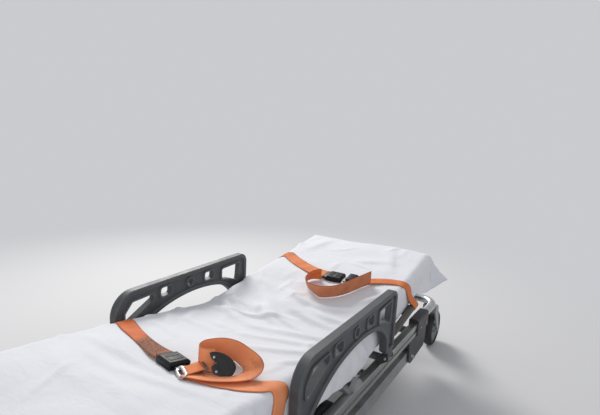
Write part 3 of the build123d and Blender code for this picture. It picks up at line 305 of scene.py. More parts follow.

# %% [markdown]
# One finish for each kind of surface in the photograph: drawn aluminium with streaks along the rail,
# bright bent tube, the dark tube of the deck, grey painted legs, dark castings, the blue-grey moulded
# guards with lighter edges, which are a painted highlight, and rubber. The streaks come from stretching the noise
# along the bar.

# %% Finishes of the hard parts
looks = {
    "aluminium": finish("satin_aluminium", (0.25, 0.262, 0.25), (0.42, 0.432, 0.415), (0.3, 0.46), 0.85,
                        (420, 7, 420), 0.0002, (0.68, 0.68, 0.66), 0.002, 0.9),
    "bright_tube": finish("bright_tube", (0.40, 0.41, 0.42), (0.62, 0.63, 0.64), (0.26, 0.42), 1.0,
                          (90, 30, 90), 0.0001, (0.86, 0.86, 0.86), 0.0015, 0.6),
    "dark_tube": finish("dark_tube", (0.05, 0.046, 0.042), (0.1, 0.09, 0.082), (0.34, 0.52), 0.2,
                        (60, 18, 60), 0.0002, (0.3, 0.28, 0.26), 0.0015, 0.7),
    "leg_paint": finish("leg_paint", (0.23, 0.24, 0.245), (0.33, 0.34, 0.345), (0.32, 0.5), 0.35,
                        (26, 26, 26), 0.0003, (0.62, 0.62, 0.6), 0.0015, 0.9),
    "casting": finish("casting", (0.024, 0.025, 0.027), (0.058, 0.058, 0.06), (0.42, 0.62), 0.1,
                      (70, 70, 70), 0.0006, (0.34, 0.31, 0.3), 0.0018, 1.0),
    "panel": finish("deck_panel", (0.03, 0.032, 0.036), (0.06, 0.062, 0.068), (0.5, 0.7), 0.0,
                    (22, 22, 22), 0.0006),
    # the guards' lighter edge tone is a painted highlight along their rims
    "guard_moulding": finish("guard_moulding", (0.050, 0.055, 0.059), (0.082, 0.088, 0.094),
                             (0.46, 0.62), 0.0, (30, 18, 30), 0.0004, (0.25, 0.26, 0.275), 0.003, 0.9),
    "grip": finish("grip_rubber", (0.012, 0.012, 0.012), (0.03, 0.03, 0.03), (0.6, 0.8), 0.0,
                   (120, 120, 120), 0.0008),
    "tyre": finish("tyre_rubber", (0.012, 0.012, 0.012), (0.036, 0.035, 0.034), (0.58, 0.85), 0.0,
                   (45, 45, 45), 0.0007, (0.09, 0.085, 0.08), 0.003, 0.8),
    "hub": finish("hub_plastic", (0.17, 0.18, 0.19), (0.26, 0.27, 0.28), (0.36, 0.55), 0.0,
                  (35, 35, 35), 0.0004, (0.45, 0.45, 0.45), 0.0015, 0.7),
    "buckle_black": finish("buckle_black", (0.008, 0.008, 0.009), (0.02, 0.02, 0.022), (0.22, 0.4), 0.0,
                           (80, 80, 80), 0.0003, (0.09, 0.09, 0.09), 0.0012, 0.8),
    "tongue_steel": finish("tongue_steel", (0.42, 0.42, 0.43), (0.66, 0.66, 0.67), (0.30, 0.44), 1.0,
                           (150, 20, 150), 0.0001),
}
for part in frame["record"]["subparts"]:
    look = looks.get(part["material_slot"])
    if look:
        nodes[part["node"]].data.materials.clear()
        nodes[part["node"]].data.materials.append(look)

# %% [markdown]
# Soft goods are grids of points. The first helper turns rows of points into a mesh with its own UV map,
# measured in metres, so that a weave keeps its real scale wherever the cloth goes. The others measure
# such a grid, find its normals, close the ends of a tube of cloth and give a surface its thickness.

# %% Grid helpers
def cloth_mesh(name, points, uv, loop=False):
    """An object from a grid of points (rows, columns, 3) and its UV (rows, columns, 2)."""
    rows, columns = points.shape[:2]
    index = np.arange(rows * columns).reshape(rows, columns)
    if loop:
        index = np.concatenate([index, index[:, :1]], 1)
        uv = np.concatenate([uv, uv[:, :1] + (uv[:, -1:] - uv[:, -2:-1])], 1)
    quads = np.stack([index[:-1, :-1], index[:-1, 1:], index[1:, 1:], index[1:, :-1]], -1).reshape(-1, 4)
    corners = np.stack([uv[:-1, :-1], uv[:-1, 1:], uv[1:, 1:], uv[1:, :-1]], 2).reshape(-1, 2)
    mesh = bpy.data.meshes.new(name)
    mesh.from_pydata(points.reshape(-1, 3).tolist(), [], quads.tolist())
    layer = mesh.uv_layers.new(name="UVMap")
    layer.data.foreach_set("uv", corners.astype(np.float32).ravel())
    mesh.shade_smooth()
    piece = bpy.data.objects.new(name, mesh)
    scene.collection.objects.link(piece)
    return piece


def walk(points):
    """The distance walked along a row of points."""
    return np.cumsum(np.r_[0, np.linalg.norm(np.diff(points, axis=0), axis=1)])


def grid_uv(across, along):
    """The UV of a grid, from the distances across its columns and along its rows."""
    return np.stack(np.broadcast_arrays(across[None, :], along[:, None]), -1)


def normals_of(points):
    """The unit normals of a grid of points."""
    normal = np.cross(np.gradient(points, axis=1), np.gradient(points, axis=0))
    return normal / np.maximum(np.linalg.norm(normal, axis=2, keepdims=True), 1e-9)


def activate(piece):
    """Make a piece the only selected and active object."""
    bpy.ops.object.select_all(action="DESELECT")
    piece.select_set(True)
    bpy.context.view_layer.objects.active = piece


def close_ends(piece):
    """Fill the open ends of a tube of cloth and turn its faces outwards."""
    activate(piece)
    bpy.ops.object.mode_set(mode="EDIT")
    bpy.ops.mesh.select_all(action="DESELECT")
    bpy.ops.mesh.select_non_manifold()
    bpy.ops.mesh.edge_face_add()
    bpy.ops.mesh.select_all(action="SELECT")
    bpy.ops.mesh.normals_make_consistent(inside=False)
    bpy.ops.object.mode_set(mode="OBJECT")


def thicken(piece, thickness):
    """Give a surface its thickness, half to each side."""
    activate(piece)
    solid = piece.modifiers.new("thickness", "SOLIDIFY")
    solid.thickness = thickness
    solid.offset = 0
    bpy.ops.object.modifier_apply(modifier="thickness")


print("grid helpers ready")

# %% [markdown]
# The mattress is foam in a wipe-clean coated cover. Its section is a box with rounded corners and a
# welded bead along the upper and lower edges. The sheet hides most of it, but it shows from below.

# %% Mattress
MIDDLE = (LOW + HIGH) / 2
HALF_HEIGHT = (HIGH - LOW) / 2
CORNER, END_CORNER = 0.017, 0.012
SHEET_GAP = 0.001
BEAD_ANGLE, BEAD_WIDTH = 0.9, 0.18
BEADS = {-1: 0.0012, 1: 0.0008}


def mattress_section():
    """One half loop of the section as (x, t) pairs, from the middle of the underside to the top."""
    flat = HALF - SHEET_GAP - CORNER
    pairs = [(x, -HALF_HEIGHT) for x in np.linspace(0, flat, 6)[:-1]]
    for end, bead in BEADS.items():
        for angle in np.linspace(min(end, 0), max(end, 0), 8) * math.pi / 2:
            reach = CORNER + bead * math.exp(-((angle - end * BEAD_ANGLE) / BEAD_WIDTH) ** 2)
            pairs.append((flat + reach * math.cos(angle),
                          end * (HALF_HEIGHT - CORNER) + reach * math.sin(angle)))
    pairs += [(x, HALF_HEIGHT) for x in np.linspace(flat, 0, 8)[1:]]
    return [(x, MIDDLE + height) for x, height in pairs]


half_loop = mattress_section()
loop = np.array(half_loop + [(-x, t) for x, t in half_loop[-2:0:-1]])
first_run, last_run = END_CORNER - FOOT_RUN, HEAD_RUN - END_CORNER
cap = [(END_CORNER * math.sin(a), END_CORNER * (1 - math.cos(a))) for a in np.linspace(0, math.pi / 2, 7)[1:]]
stations = [(first_run - out, shrink) for out, shrink in cap[::-1]]
stations += [(run, 0.0) for run in np.linspace(first_run, last_run, 200)]
stations += [(last_run + out, shrink) for out, shrink in cap]
rings = []
for run, shrink in stations:
    x = loop[:, 0] * (1 - shrink / HALF)
    t = MIDDLE + (loop[:, 1] - MIDDLE) * (1 - shrink / HALF_HEIGHT)
    rings.append(bed(x, run, t))
for inner in (0.6, 0.2):
    for end in (0, -1):
        centre = rings[end].mean(0)
        rings.insert(0 if end == 0 else len(rings), centre + (rings[end] - centre) * inner)
rings = np.array(rings)
mattress = cloth_mesh("mattress", rings, grid_uv(walk(loop), walk(rings[:, 0])), True)
close_ends(mattress)
mattress.data.materials.append(finish("mattress_cover", (0.012, 0.016, 0.03), (0.026, 0.033, 0.055),
                                      (0.38, 0.55), 0.0, (9, 9, 9), 0.0006, fine=420))
bed(0, -0.05, MIDDLE).tolist()
bed(0, 0.05, MIDDLE).tolist()
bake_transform(mattress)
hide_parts("mattress_leg", "mattress_back", "mattress_fold")
print("mattress:", len(mattress.data.polygons), "faces")

# %% [markdown]
# A cotton sheet lies over the mattress. Across the bed its path is followed by angle: level on top, a
# quarter turn at the edge, straight down, then inwards under the mattress where it is tucked in. Between
# the thigh belt and the hip both sides sag a little below the mattress. Near the head they are not
# tucked: the turn fades out and the hem hangs free, a little outwards.

# %% Sheet: the smooth wrap
SKIN = 0.0012
SIDE_ROUND, END_ROUND = 0.022, 0.015
FLAT = HALF + SKIN - SIDE_ROUND
TOP = HIGH + SKIN
TURN_T, TURN = 0.0187, 0.0052
SIDE_STRAIGHT = TOP - SIDE_ROUND - TURN_T
SIDE_STEPS, TAIL_STEPS = 10, 10
SIDE_TUCK, FOOT_TUCK = 0.016, 0.0176
SAG = 0.015
HEAD_HANG = 0.108

HEM_RUNS = [0.06, 0.14, 0.188, 0.455, 0.5, 0.534, 0.57, 0.61, 0.685, 0.83]
HEM_T = {1: [0.010, 0.009, 0.006, 0.006, 0.008, 0.010, -0.010, -0.026, -0.042, -0.046],
         -1: [0.010, 0.009, 0.006, 0.006, 0.008, 0.010, -0.008, -0.02, -0.035, -0.04]}
FLARE = {1: [0, 0, 0, 0, 0, 0.10, 0.34, 0.32, 0.28, 0.25],
         -1: [0, 0, 0, 0, 0, 0.06, 0.2, 0.18, 0.16, 0.16]}


def step(value, low, high):
    """0 below low, 1 above high and smooth between them."""
    f = np.clip((value - low) / (high - low), 0, 1)
    return f * f * (3 - 2 * f)


def band(value, rise, fall):
    """1 between two places and 0 outside them. rise and fall are (low, high)."""
    return step(value, *rise) * (1 - step(value, *fall))


def even(length, count):
    """A length cut into equal steps."""
    return np.full(count, length / count)


def tucked(runs):
    """1 where the sides are tucked in, 0 where they hang free."""
    return 1 - step(runs, 0.07, 0.18)


def slack(runs):
    """How far the cloth sags below the mattress between the thigh belt and the hip."""
    return SAG * band(runs, (-0.335, -0.25), (0.06, 0.13))


def side_path(side, runs):
    """Distance, x and drop for one side: a row for each run, from the middle of the bed to the hem."""
    tuck = tucked(runs)
    hem = np.interp(runs, HEM_RUNS, HEM_T[side])
    flare = np.interp(runs, HEM_RUNS, FLARE[side])
    tail = np.where(tuck > 0.5, SIDE_TUCK, np.maximum(TURN_T - hem, 0.008))
    tail = tail * (1 - tuck) + SIDE_TUCK * tuck
    lengths = np.r_[even(FLAT, 36), even(SIDE_ROUND * math.pi / 2, 8), even(SIDE_STRAIGHT, SIDE_STEPS)]
    place = np.cumsum(lengths) - lengths / 2
    angle = np.clip((place - FLAT) / SIDE_ROUND, 0, math.pi / 2)
    angles = np.repeat(angle[None, :], len(runs), 0)
    distances = np.repeat(lengths[None, :], len(runs), 0)
    distances[:, -SIDE_STEPS:] *= 1 + slack(runs)[:, None] / SIDE_STRAIGHT
    part = (np.arange(TAIL_STEPS) + 0.5) / TAIL_STEPS
    tail_angles = (math.pi / 2 + tuck[:, None] * np.clip(part * SIDE_TUCK / TURN, 0, math.pi / 2)[None, :]
                   - flare[:, None] * step(part, 0.0, 0.5)[None, :])
    angles = np.concatenate([angles, tail_angles], 1)
    distances = np.concatenate([distances, np.repeat((tail / TAIL_STEPS)[:, None], TAIL_STEPS, 1)], 1)
    moves = (distances, distances * np.cos(angles), distances * np.sin(angles))
    return [np.concatenate([np.zeros((len(runs), 1)), np.cumsum(move, 1)], 1) for move in moves]


def end_path(length, straight, turned):
    """Distance, advance and drop beyond the flat part at one end of the bed."""
    lengths = np.r_[even(END_ROUND * math.pi / 2, 6), even(length, straight)]
    place = np.cumsum(lengths) - lengths / 2
    angle = np.clip(place / END_ROUND, 0, math.pi / 2)
    if turned:
        tail = even(FOOT_TUCK, 8)
        angle = np.r_[angle, math.pi / 2 + np.clip((np.cumsum(tail) - tail / 2) / TURN, 0, math.pi / 2)]
        lengths = np.r_[lengths, tail]
    return np.cumsum(lengths), np.cumsum(lengths * np.cos(angle)), np.cumsum(lengths * np.sin(angle))


print("half width of the flat top:", round(FLAT, 3))

# %% [markdown]
# The rows of the sheet's grid run from the foot end, which is tucked under, to the head end, which hangs
# down. Each row is then laid out to both sides. Three grids keep what the next cells need: the distance
# across the flat cloth, the place it takes across the bed, and how far it has dropped.

# %% Sheet: the grid
HEAD_FLAT = HEAD_RUN + SKIN - END_ROUND
FOOT_FLAT = -(FOOT_RUN + SKIN - END_ROUND)
flat_runs = np.linspace(FOOT_FLAT, HEAD_FLAT, 268)
head_far, head_run, head_drop = end_path(HEAD_HANG, 17, False)
foot_far, foot_run, foot_drop = end_path(TOP - END_ROUND - TURN_T, 10, True)
runs = np.r_[FOOT_FLAT - foot_run[::-1], flat_runs, HEAD_FLAT + head_run]
row_far = np.r_[FOOT_FLAT - foot_far[::-1], flat_runs, HEAD_FLAT + head_far]
row_drop = np.r_[foot_drop[::-1], np.zeros(len(flat_runs)), head_drop]
left_side, right_side = side_path(-1, row_far), side_path(1, row_far)
across, wide = [np.concatenate([-left_side[k][:, :0:-1], right_side[k]], 1) for k in (0, 1)]
fall = np.concatenate([left_side[2][:, :0:-1], right_side[2]], 1)
print("sheet grid:", across.shape)

# %% [markdown]
# Where a side and an end meet there is too much cloth, and it folds into an ear. A point that is a beyond
# the side edge and b beyond the end edge falls by the longer of the two and stands out by the shorter
# one. At the foot the ears lie flat against the end, like a hospital corner. At the head they hang
# free, and the right one points outwards, the way it does in the photograph.

# %% Sheet: the corners
POWER = 6.0
EARS = {(1, 1): (0.80, 0.60, 0.60, 0.42), (-1, 1): (0.45, 0.89, 0.42, 0.12),
        (1, -1): (-1.0, 0.0, 0.9, 0.0), (-1, -1): (-1.0, 0.0, 0.9, 0.0)}
EAR_OPEN, EAR_LAYER, EAR_LEAN = 0.006, 0.0035, 0.0015
EAR_FADE = 0.02


def longer(first, second):
    """The longer of two lengths, rounded off where they are alike."""
    return (first ** POWER + second ** POWER) ** (1 / POWER)


a = np.clip(np.abs(across) - FLAT - SIDE_ROUND * 1.35, 0, None)
head_b = np.clip(row_far - HEAD_FLAT - END_ROUND * 1.2, 0, None)[:, None]
foot_b = np.clip(FOOT_FLAT - row_far - END_ROUND * 1.2, 0, None)[:, None]
b = head_b + foot_b
ear = a + b - longer(a, b)
lateral = (a - b) / np.maximum(a + b, 1e-6)
grid_run = np.repeat(runs[:, None], across.shape[1], 1)
grid_x = wide.copy()
grid_fall = longer(fall, row_drop[:, None])
for (side, end), (out_x, out_run, size, rise) in EARS.items():
    here = (np.sign(across) == side) & ((head_b if end == 1 else foot_b) > 0) & (a > 0)
    stick = np.where(here, ear * size, 0)
    soft = np.clip(stick / EAR_FADE, 0, 1)
    grid_x += side * out_x * stick
    grid_run += end * out_run * stick
    grid_fall -= rise * np.where(here, ear, 0)
    if end == 1:
        grid_x += np.where(here, side * out_run * lateral * EAR_OPEN * soft, 0)
        grid_run += np.where(here, -out_x * lateral * EAR_OPEN * soft, 0)
    else:
        grid_run -= np.where(here, (EAR_LAYER - EAR_LEAN * lateral) * soft, 0)
wrap = bed(grid_x, grid_run, TOP - grid_fall)
print("ear tip at", [round(v, 3) for v in wrap[-1, -1]])

# %% [markdown]
# Folds make the sheet read as cotton. Each fold is a short curve on the bed with a height and a width,
# steeper on one side than on the other. Its height falls off with the distance from the curve, and
# fades towards the curve's two ends.

# %% Sheet: the shape of a fold
FOLD_GAIN, FOLD_SPREAD = 2.4, 1.2
SLOW_SIDE = 2.1


def to_stretch(far_x, far_run, start, way):
    """The share of a straight stretch where points come nearest to it, and their offsets from there."""
    s = np.clip(((far_x - start[0]) * way[0] + (far_run - start[1]) * way[1]) / (way @ way), 0, 1)
    return s, far_x - start[0] - s * way[0], far_run - start[1] - s * way[1]


def fold_height(far_x, far_run, fold):
    """Height of one fold at points of the flat cloth. fold is (points, height, width)."""
    (p0, p1, p2), height, width = fold
    f = np.linspace(0, 1, 11)[:, None]
    line = (1 - f) ** 2 * np.array(p0) + 2 * f * (1 - f) * np.array(p1) + f * f * np.array(p2)
    best = np.full(far_x.shape, np.inf)
    side, where = np.zeros(far_x.shape), np.zeros(far_x.shape)
    for k, way in enumerate(np.diff(line, axis=0)):
        s, dx, dr = to_stretch(far_x, far_run, line[k], way)
        d = np.hypot(dx, dr)
        near = d < best
        best = np.where(near, d, best)
        side = np.where(near, dx * way[1] - dr * way[0], side)
        where = np.where(near, (k + s) / (len(line) - 1), where)
    slim = FOLD_SPREAD * np.where(side > 0, width, width * SLOW_SIDE)
    return height * np.exp(-(best / slim) ** 2) * np.sin(np.pi * np.clip(where, 0.02, 0.98)) ** 0.7


print("a fold is", SLOW_SIDE, "times as wide on its slow side")

# %% [markdown]
# The main folds follow the photograph: they fan out from the hip valley and from under the belts. Smaller
# ones come from a seeded generator, so that every run of this script gives the same sheet. The sides get
# upright folds that grow towards the tuck, with six stronger ones under the right guard, and the cloth
# hanging over the head end gets a few wide ones.

# %% Sheet: the folds
HEM_FAR = FLAT + SIDE_ROUND * math.pi / 2 + SIDE_STRAIGHT
# three (x, y) places on top of the bed, then height and width, in millimetres
MAIN_FOLDS = [
    (-236, 130, -150, 112, -60, 40, 4.0, 8), (-240, 175, -120, 150, 20, 95, 3.4, 10),
    (-190, 60, -60, 90, 60, 150, 2.8, 7), (-90, 190, 10, 120, 150, 100, 4.6, 11),
    (-60, 250, 40, 170, 190, 160, 4.0, 12), (-140, 240, -60, 200, -10, 120, 3.4, 10),
    (40, 240, 110, 190, 215, 215, 3.4, 9), (-30, 20, 90, 60, 225, 110, 3.0, 10),
    (-10, -60, 100, 0, 235, 60, 2.4, 8), (60, -120, 150, -60, 240, 20, 2.6, 9),
    (-210, 20, -180, -60, -120, -120, 2.2, 7), (-235, -60, -200, -110, -150, -140, 2.0, 7),
    (-60, 300, -20, 260, 60, 240, 4.4, 8), (0, 262, 90, 235, 180, 285, 3.8, 9),
    (170, 330, 225, 380, 236, 450, 3.0, 9), (190, 560, 150, 660, 120, 760, 2.2, 12),
    (-200, 600, -170, 680, -150, 770, 2.0, 14), (20, 600, 80, 640, 200, 650, 1.8, 12),
    (-230, -330, -60, -350, 110, -345, 3.0, 9), (20, -345, 140, -345, 228, -300, 3.4, 7),
    (-40, -400, 90, -375, 230, -345, 2.6, 9), (-240, -280, -140, -320, -30, -345, 2.2, 8),
    (180, -150, 205, -100, 238, -60, 2.6, 8), (-210, -420, -60, -470, 120, -450, 2.2, 14),
    (-225, 95, -120, 40, 30, 20, 3.0, 9), (-228, 150, -140, 70, -70, -20, 2.6, 8),
    (-180, 200, -60, 140, 90, 60, 4.2, 12), (-130, -40, -40, -20, 60, -60, 2.0, 8),
    (-190, -90, -120, -60, -30, -90, 2.0, 8), (-200, -150, -120, -160, -60, -200, 2.2, 7),
    (-20, -110, 20, -160, 30, -210, 1.8, 8), (-110, 330, -60, 280, 20, 210, 3.0, 11),
    (-200, 330, -150, 290, -120, 220, 2.0, 10), (200, 120, 215, 180, 205, 250, 2.6, 9),
    (-60, -430, 40, -440, 150, -420, 2.2, 10), (-160, -380, -60, -400, 60, -410, 2.0, 8),
]
# run, lean along the bed and height of the folds under the right guard
GUARD_FOLDS = [(-0.215, 0.028, 0.0030), (-0.150, 0.036, 0.0040), (-0.098, 0.020, 0.0036),
               (-0.052, 0.034, 0.0044), (0.004, 0.016, 0.0040), (0.046, 0.028, 0.0040)]

SMALL_FOLDS, WAVES = 46, 16
VALLEY_REACH = 0.16
SIDE_FROM, SIDE_TO = -1.07, 0.66
GUARD_FOLD_WIDTH = 0.0044
HEAD_FOLD_HEIGHT, HEAD_FOLD_WIDTH = 0.004, 0.014
folds = []
for row in np.array(MAIN_FOLDS) / 1000:
    spots = row[:6].reshape(3, 2)
    folds.append((np.stack([spots[:, 0], run_of(spots[:, 1])], 1), row[6], row[7]))
dice = np.random.default_rng(41)
for _ in range(SMALL_FOLDS):
    spot = np.array([dice.uniform(-0.22, 0.22), dice.uniform(-1.05, 0.66)])
    valley = math.exp(-(spot[1] / VALLEY_REACH) ** 2)
    heading = dice.uniform(-0.6, 0.6) + (0.0 if dice.random() < 0.35 + 0.5 * valley else math.pi / 2)
    way = np.array([math.cos(heading), math.sin(heading)]) * dice.uniform(0.05, 0.13) / 2
    bow = np.array([-way[1], way[0]]) * dice.uniform(-0.5, 0.5)
    folds.append(((spot - way, spot + bow, spot + way),
                  dice.uniform(0.0006, 0.0016) * (1 + 0.9 * valley), dice.uniform(0.004, 0.009)))
for side in (-1, 1):
    run = SIDE_FROM
    while run < SIDE_TO:
        lean = dice.uniform(-0.05, 0.05)
        high = HEM_FAR - dice.uniform(0.05, 0.10)
        folds.append(([(side * (HEM_FAR + 0.03), run), (side * (HEM_FAR - 0.04), run + lean * 0.3),
                       (side * high, run + lean)], dice.uniform(0.0014, 0.0036), dice.uniform(0.005, 0.012)))
        run += dice.uniform(0.035, 0.085)
for run, lean, height in GUARD_FOLDS:
    folds.append(([(HEM_FAR - 0.064, run), (HEM_FAR - 0.03, run + 0.3 * lean), (HEM_FAR + 0.008, run + lean)],
                  height, GUARD_FOLD_WIDTH))
for x in np.arange(-0.2, 0.21, 0.08):
    low_x = x + dice.uniform(-0.02, 0.02)
    folds.append(([(x, HEAD_FLAT + 0.02), (x + 0.01, HEAD_FLAT + 0.07), (low_x, HEAD_FLAT + 0.13)],
                  HEAD_FOLD_HEIGHT, HEAD_FOLD_WIDTH))
waves = [(dice.uniform(0.0003, 0.0009), dice.uniform(9, 34), dice.uniform(0, math.pi), dice.uniform(0, 6.3))
         for _ in range(WAVES)]
print("folds:", len(folds), "waves:", len(waves))

# %% [markdown]
# The height of the cloth adds up long low waves, all the folds, and a soft puff at the head on the right.
# The belts press the sheet down where they lie, so the folds fade out under their paths.

# %% Sheet: the height of the cloth
WAVE_LEVEL = 0.0012
PUFF_HEIGHT, PUFF_X, PUFF_SPREAD = 0.009, 0.17, 0.13
PRESS, PRESS_REACH, PRESS_FADE = 0.75, 0.02, 0.022
BELT_PATHS = {
    "thigh_left": [(-0.33, -0.372), (-0.24, -0.352), (-0.155, -0.388), (-0.06, -0.42), (0.0, -0.43)],
    "thigh_right": [(0.08, -0.46), (0.16, -0.445), (0.215, -0.405), (0.26, -0.375), (0.33, -0.376)],
    "chest_left": [(-0.33, 0.425), (-0.24, 0.432), (-0.15, 0.385), (-0.07, 0.35), (0.02, 0.34)],
    "chest_right": [(0.14, 0.37), (0.19, 0.4), (0.24, 0.418), (0.33, 0.418)],
}


def relief(far_x, far_run):
    """Height of the folded cloth over the smooth wrap."""
    height = np.zeros(np.broadcast(far_x, far_run).shape)
    for size, pitch, heading, phase in waves:
        height += size * np.cos(pitch * (far_x * math.cos(heading) + far_run * math.sin(heading)) + phase)
    height = np.clip(height + WAVE_LEVEL, 0, None)
    for fold in folds:
        height += FOLD_GAIN * fold_height(far_x, far_run, fold)
    puff = np.exp(-((far_x - PUFF_X) / PUFF_SPREAD) ** 2)
    return height + PUFF_HEIGHT * puff * band(far_run, (0.48, 0.66), (0.70, 0.78))


def pressed(far_x, far_run):
    """1 under the belts, falling to 0 beside them."""
    weight = np.zeros(far_x.shape)
    for path in BELT_PATHS.values():
        for start, way in zip(path, np.diff(path, axis=0)):
            _, dx, dr = to_stretch(far_x, far_run, start, way)
            beside = np.clip(np.hypot(dx, dr) - PRESS_REACH, 0, None)
            weight = np.maximum(weight, np.exp(-(beside / PRESS_FADE) ** 2))
    return weight


def folded(far_x, far_run):
    """Height of the cloth, pressed flat under the belts."""
    return relief(far_x, far_run) * (1 - PRESS * pressed(far_x, far_run))


print("belts press the sheet along", len(BELT_PATHS), "paths")

# %% [markdown]
# The folds fade out in the tuck, at the foot, in the ears and beside the side tubes. The folded height
# moves each point along the normal of the smooth wrap. Solidify then gives the cotton its thickness.

# %% Sheet: the piece
SHEET_THICK = 0.0007
far_grid = np.repeat(row_far[:, None], across.shape[1], 1)
in_tuck = tucked(far_grid) * step(np.abs(across) - slack(far_grid), HEM_FAR - 0.002, HEM_FAR + 0.012)
at_foot = step(FOOT_FLAT - far_grid, 0.06, 0.09)
in_ear = 0.5 * np.clip(ear / 0.03, 0, 1)
beside_tube = 0.8 * band(far_grid, (0.18, 0.24), (0.54, 0.60))
beside_tube *= step(np.abs(across), HEM_FAR - 0.045, HEM_FAR - 0.015)
height = folded(across, far_grid)
for calm in (in_tuck, at_foot, in_ear, beside_tube):
    height *= 1 - calm
cloth = wrap + normals_of(wrap) * height[..., None]
sheet = cloth_mesh("sheet", cloth, np.stack([across, far_grid], -1))
thicken(sheet, SHEET_THICK)
print("sheet:", len(sheet.data.polygons), "faces")

# %% [markdown]
# White cotton is never pure white: the weave shades it and the laundry leaves it a little blue. The
# threads are too fine to model, so two crossed waves on the UV map raise a faint weave, and a stretched
# noise adds the small creases that ironing leaves behind.

# %% Sheet: the cotton
cotton, tree, shader, place = new_look("sheet_cotton")
tones = ramp(tree, noise(tree, place["Object"], 7.0, 4.0), (0.70, 0.71, 0.755), (0.80, 0.805, 0.835))
stretch = {"Vector": place["Object"], "Scale": (22, 38, 30), "Rotation": (0, 0, 0.5)}
crease = noise(tree, add_node(tree, "Mapping", stretch).outputs["Vector"], 1.0, 5.0, distortion=1.2)
weave = maths(tree, "ADD", wave(tree, place["UV"], 260.0, "X"), wave(tree, place["UV"], 260.0, "Y"))
creased = bumped(tree, crease, 0.5, 0.0034)
set_inputs(tree, shader, {"Base Color": tones, "Normal": bumped(tree, weave, 0.25, 0.0002, Normal=creased),
                          "Roughness": 0.88, "Sheen Weight": 0.25, "Sheen Roughness": 0.5})
sheet.data.materials.append(cotton)

# %% [markdown]
# Belt webbing is flat polyester, about 49 mm wide and 2 mm thick. A belt here is given by pairs of points
# on its two edges. Places on the bed are (x, y) in millimetres and a height over the sheet, so a lying
# belt has both edges low and a standing loop has one edge high.

# %% Places of a belt
WIDTH, THICK = 0.049, 0.0019


def on_sheet(x, run, lift):
    """A point over the sheet. Past the edge x goes on counting down the side of the bed."""
    side = math.copysign(1, x)
    beyond = max(abs(x) - FLAT, 0.0)
    angle = min(beyond / SIDE_ROUND, math.pi / 2)
    down = max(beyond - SIDE_ROUND * math.pi / 2, 0.0)
    high = float(folded(np.array([[x]]), np.array([[run]]))[0, 0]) if down < 0.05 else 0.0
    up = lift + high
    out = min(abs(x), FLAT) + (SIDE_ROUND + up) * math.sin(angle)
    t = TOP - SIDE_ROUND + (SIDE_ROUND + up) * math.cos(angle) - down
    return bed(side * out, run, t)


def from_mm(x, y, lift):
    """A point over the sheet from millimetres: a place on the bed and a height."""
    return on_sheet(x / 1000, float(run_of(y / 1000)), lift / 1000)


def flat_edges(path):
    """Edge pairs of a lying belt. path holds (x_far, y_far, x_near, y_near, lift) in millimetres."""
    return [(from_mm(*spots[:2], spots[4]), from_mm(*spots[2:])) for spots in path]


def standing_edges(path):
    """Edge pairs of a loop on its edge. path holds (x, y, lift) of the low edge, then of the high one."""
    return [(from_mm(*spots[:3]), from_mm(*spots[3:])) for spots in path]


print("belt width", WIDTH)

# %% [markdown]
# The pairs become two smooth curves, with even rows between them held one belt width apart. The rows are
# kept clear of the sheet and softened, and the section of the webbing is laid round them, with its own
# look on the face and a browner one on the reverse, which is painted shade.

# %% Webbing ribbon
ROW_LENGTH = 0.004
CLEARANCE, CLEAR_SEARCH = 0.0007, 0.02
SECTION = np.array([0.35, 0.95, 1, 1, 1, 1, 1, 0.95, 0.35]) * THICK / 2
sheet_bvh = BVHTree.FromPolygons([v.co.copy() for v in sheet.data.vertices],
                                 [tuple(p.vertices) for p in sheet.data.polygons])


def spline(points, count):
    """A smooth curve through points (Catmull-Rom), as an array."""
    points = np.array(points, float)
    padded = np.concatenate([2 * points[:1] - points[1:2], points, 2 * points[-1:] - points[-2:-1]])
    out = []
    for i in range(len(points) - 1):
        p0, p1, p2, p3 = padded[i:i + 4]
        f = np.linspace(0, 1, count, endpoint=False)[:, None]
        out.append(0.5 * (2 * p1 + (p2 - p0) * f + (2 * p0 - 5 * p1 + 4 * p2 - p3) * f ** 2
                          + (3 * p1 - p0 - 3 * p2 + p3) * f ** 3))
    out.append(points[-1:])
    return np.concatenate(out)


def soften(rows, times):
    """Average each row with its two neighbours, and leave the first and the last."""
    for _ in range(times):
        rows[1:-1] = (rows[:-2] + 2 * rows[1:-1] + rows[2:]) / 4


def push_clear(points):
    """Move points out of the sheet, until the webbing lies on it."""
    for point in points:
        spot, way, _, _ = sheet_bvh.find_nearest(Vector(point), CLEAR_SEARCH)
        if spot is not None:
            over = (Vector(point) - spot).dot(way)
            point += np.array(way) * max(THICK / 2 + CLEARANCE - over, 0)


def ribbon(name, pairs, width=WIDTH, clear=True):
    """A strip of webbing between two edge curves, given as pairs of points in the frame."""
    edges = [spline([pair[k] for pair in pairs], 14) for k in (0, 1)]
    walked = walk((edges[0] + edges[1]) / 2)
    stops = np.linspace(0, walked[-1], max(int(walked[-1] / ROW_LENGTH), 4))
    first, second = [np.stack([np.interp(stops, walked, edge[:, k]) for k in range(3)], 1) for edge in edges]
    middle = (first + second) / 2
    out = second - first
    out /= np.linalg.norm(out, axis=1, keepdims=True)
    soften(middle, 3)
    soften(out, 3)
    out /= np.linalg.norm(out, axis=1, keepdims=True)
    columns = np.linspace(-0.5, 0.5, len(SECTION))
    core = middle[:, None] + out[:, None] * (columns * width)[None, :, None]
    if clear:
        push_clear(core.reshape(-1, 3))
        soften(core, 2)
    lift = normals_of(core) * SECTION[None, :, None]
    u = np.r_[columns + 0.5, (columns + 0.5)[::-1]] * WIDTH
    around = np.concatenate([core + lift, (core - lift)[:, ::-1]], 1)
    strip = cloth_mesh(name, around, grid_uv(u, walk(core[:, len(SECTION) // 2])), True)
    strip.data.materials.append(webbing)
    # the reverse gets a browner look: painted shade
    strip.data.materials.append(webbing_painted_shade)
    for k, face in enumerate(strip.data.polygons):
        face.material_index = 1 if k % len(u) >= len(SECTION) else 0
    close_ends(strip)
    return strip


print("ribbon helper ready")
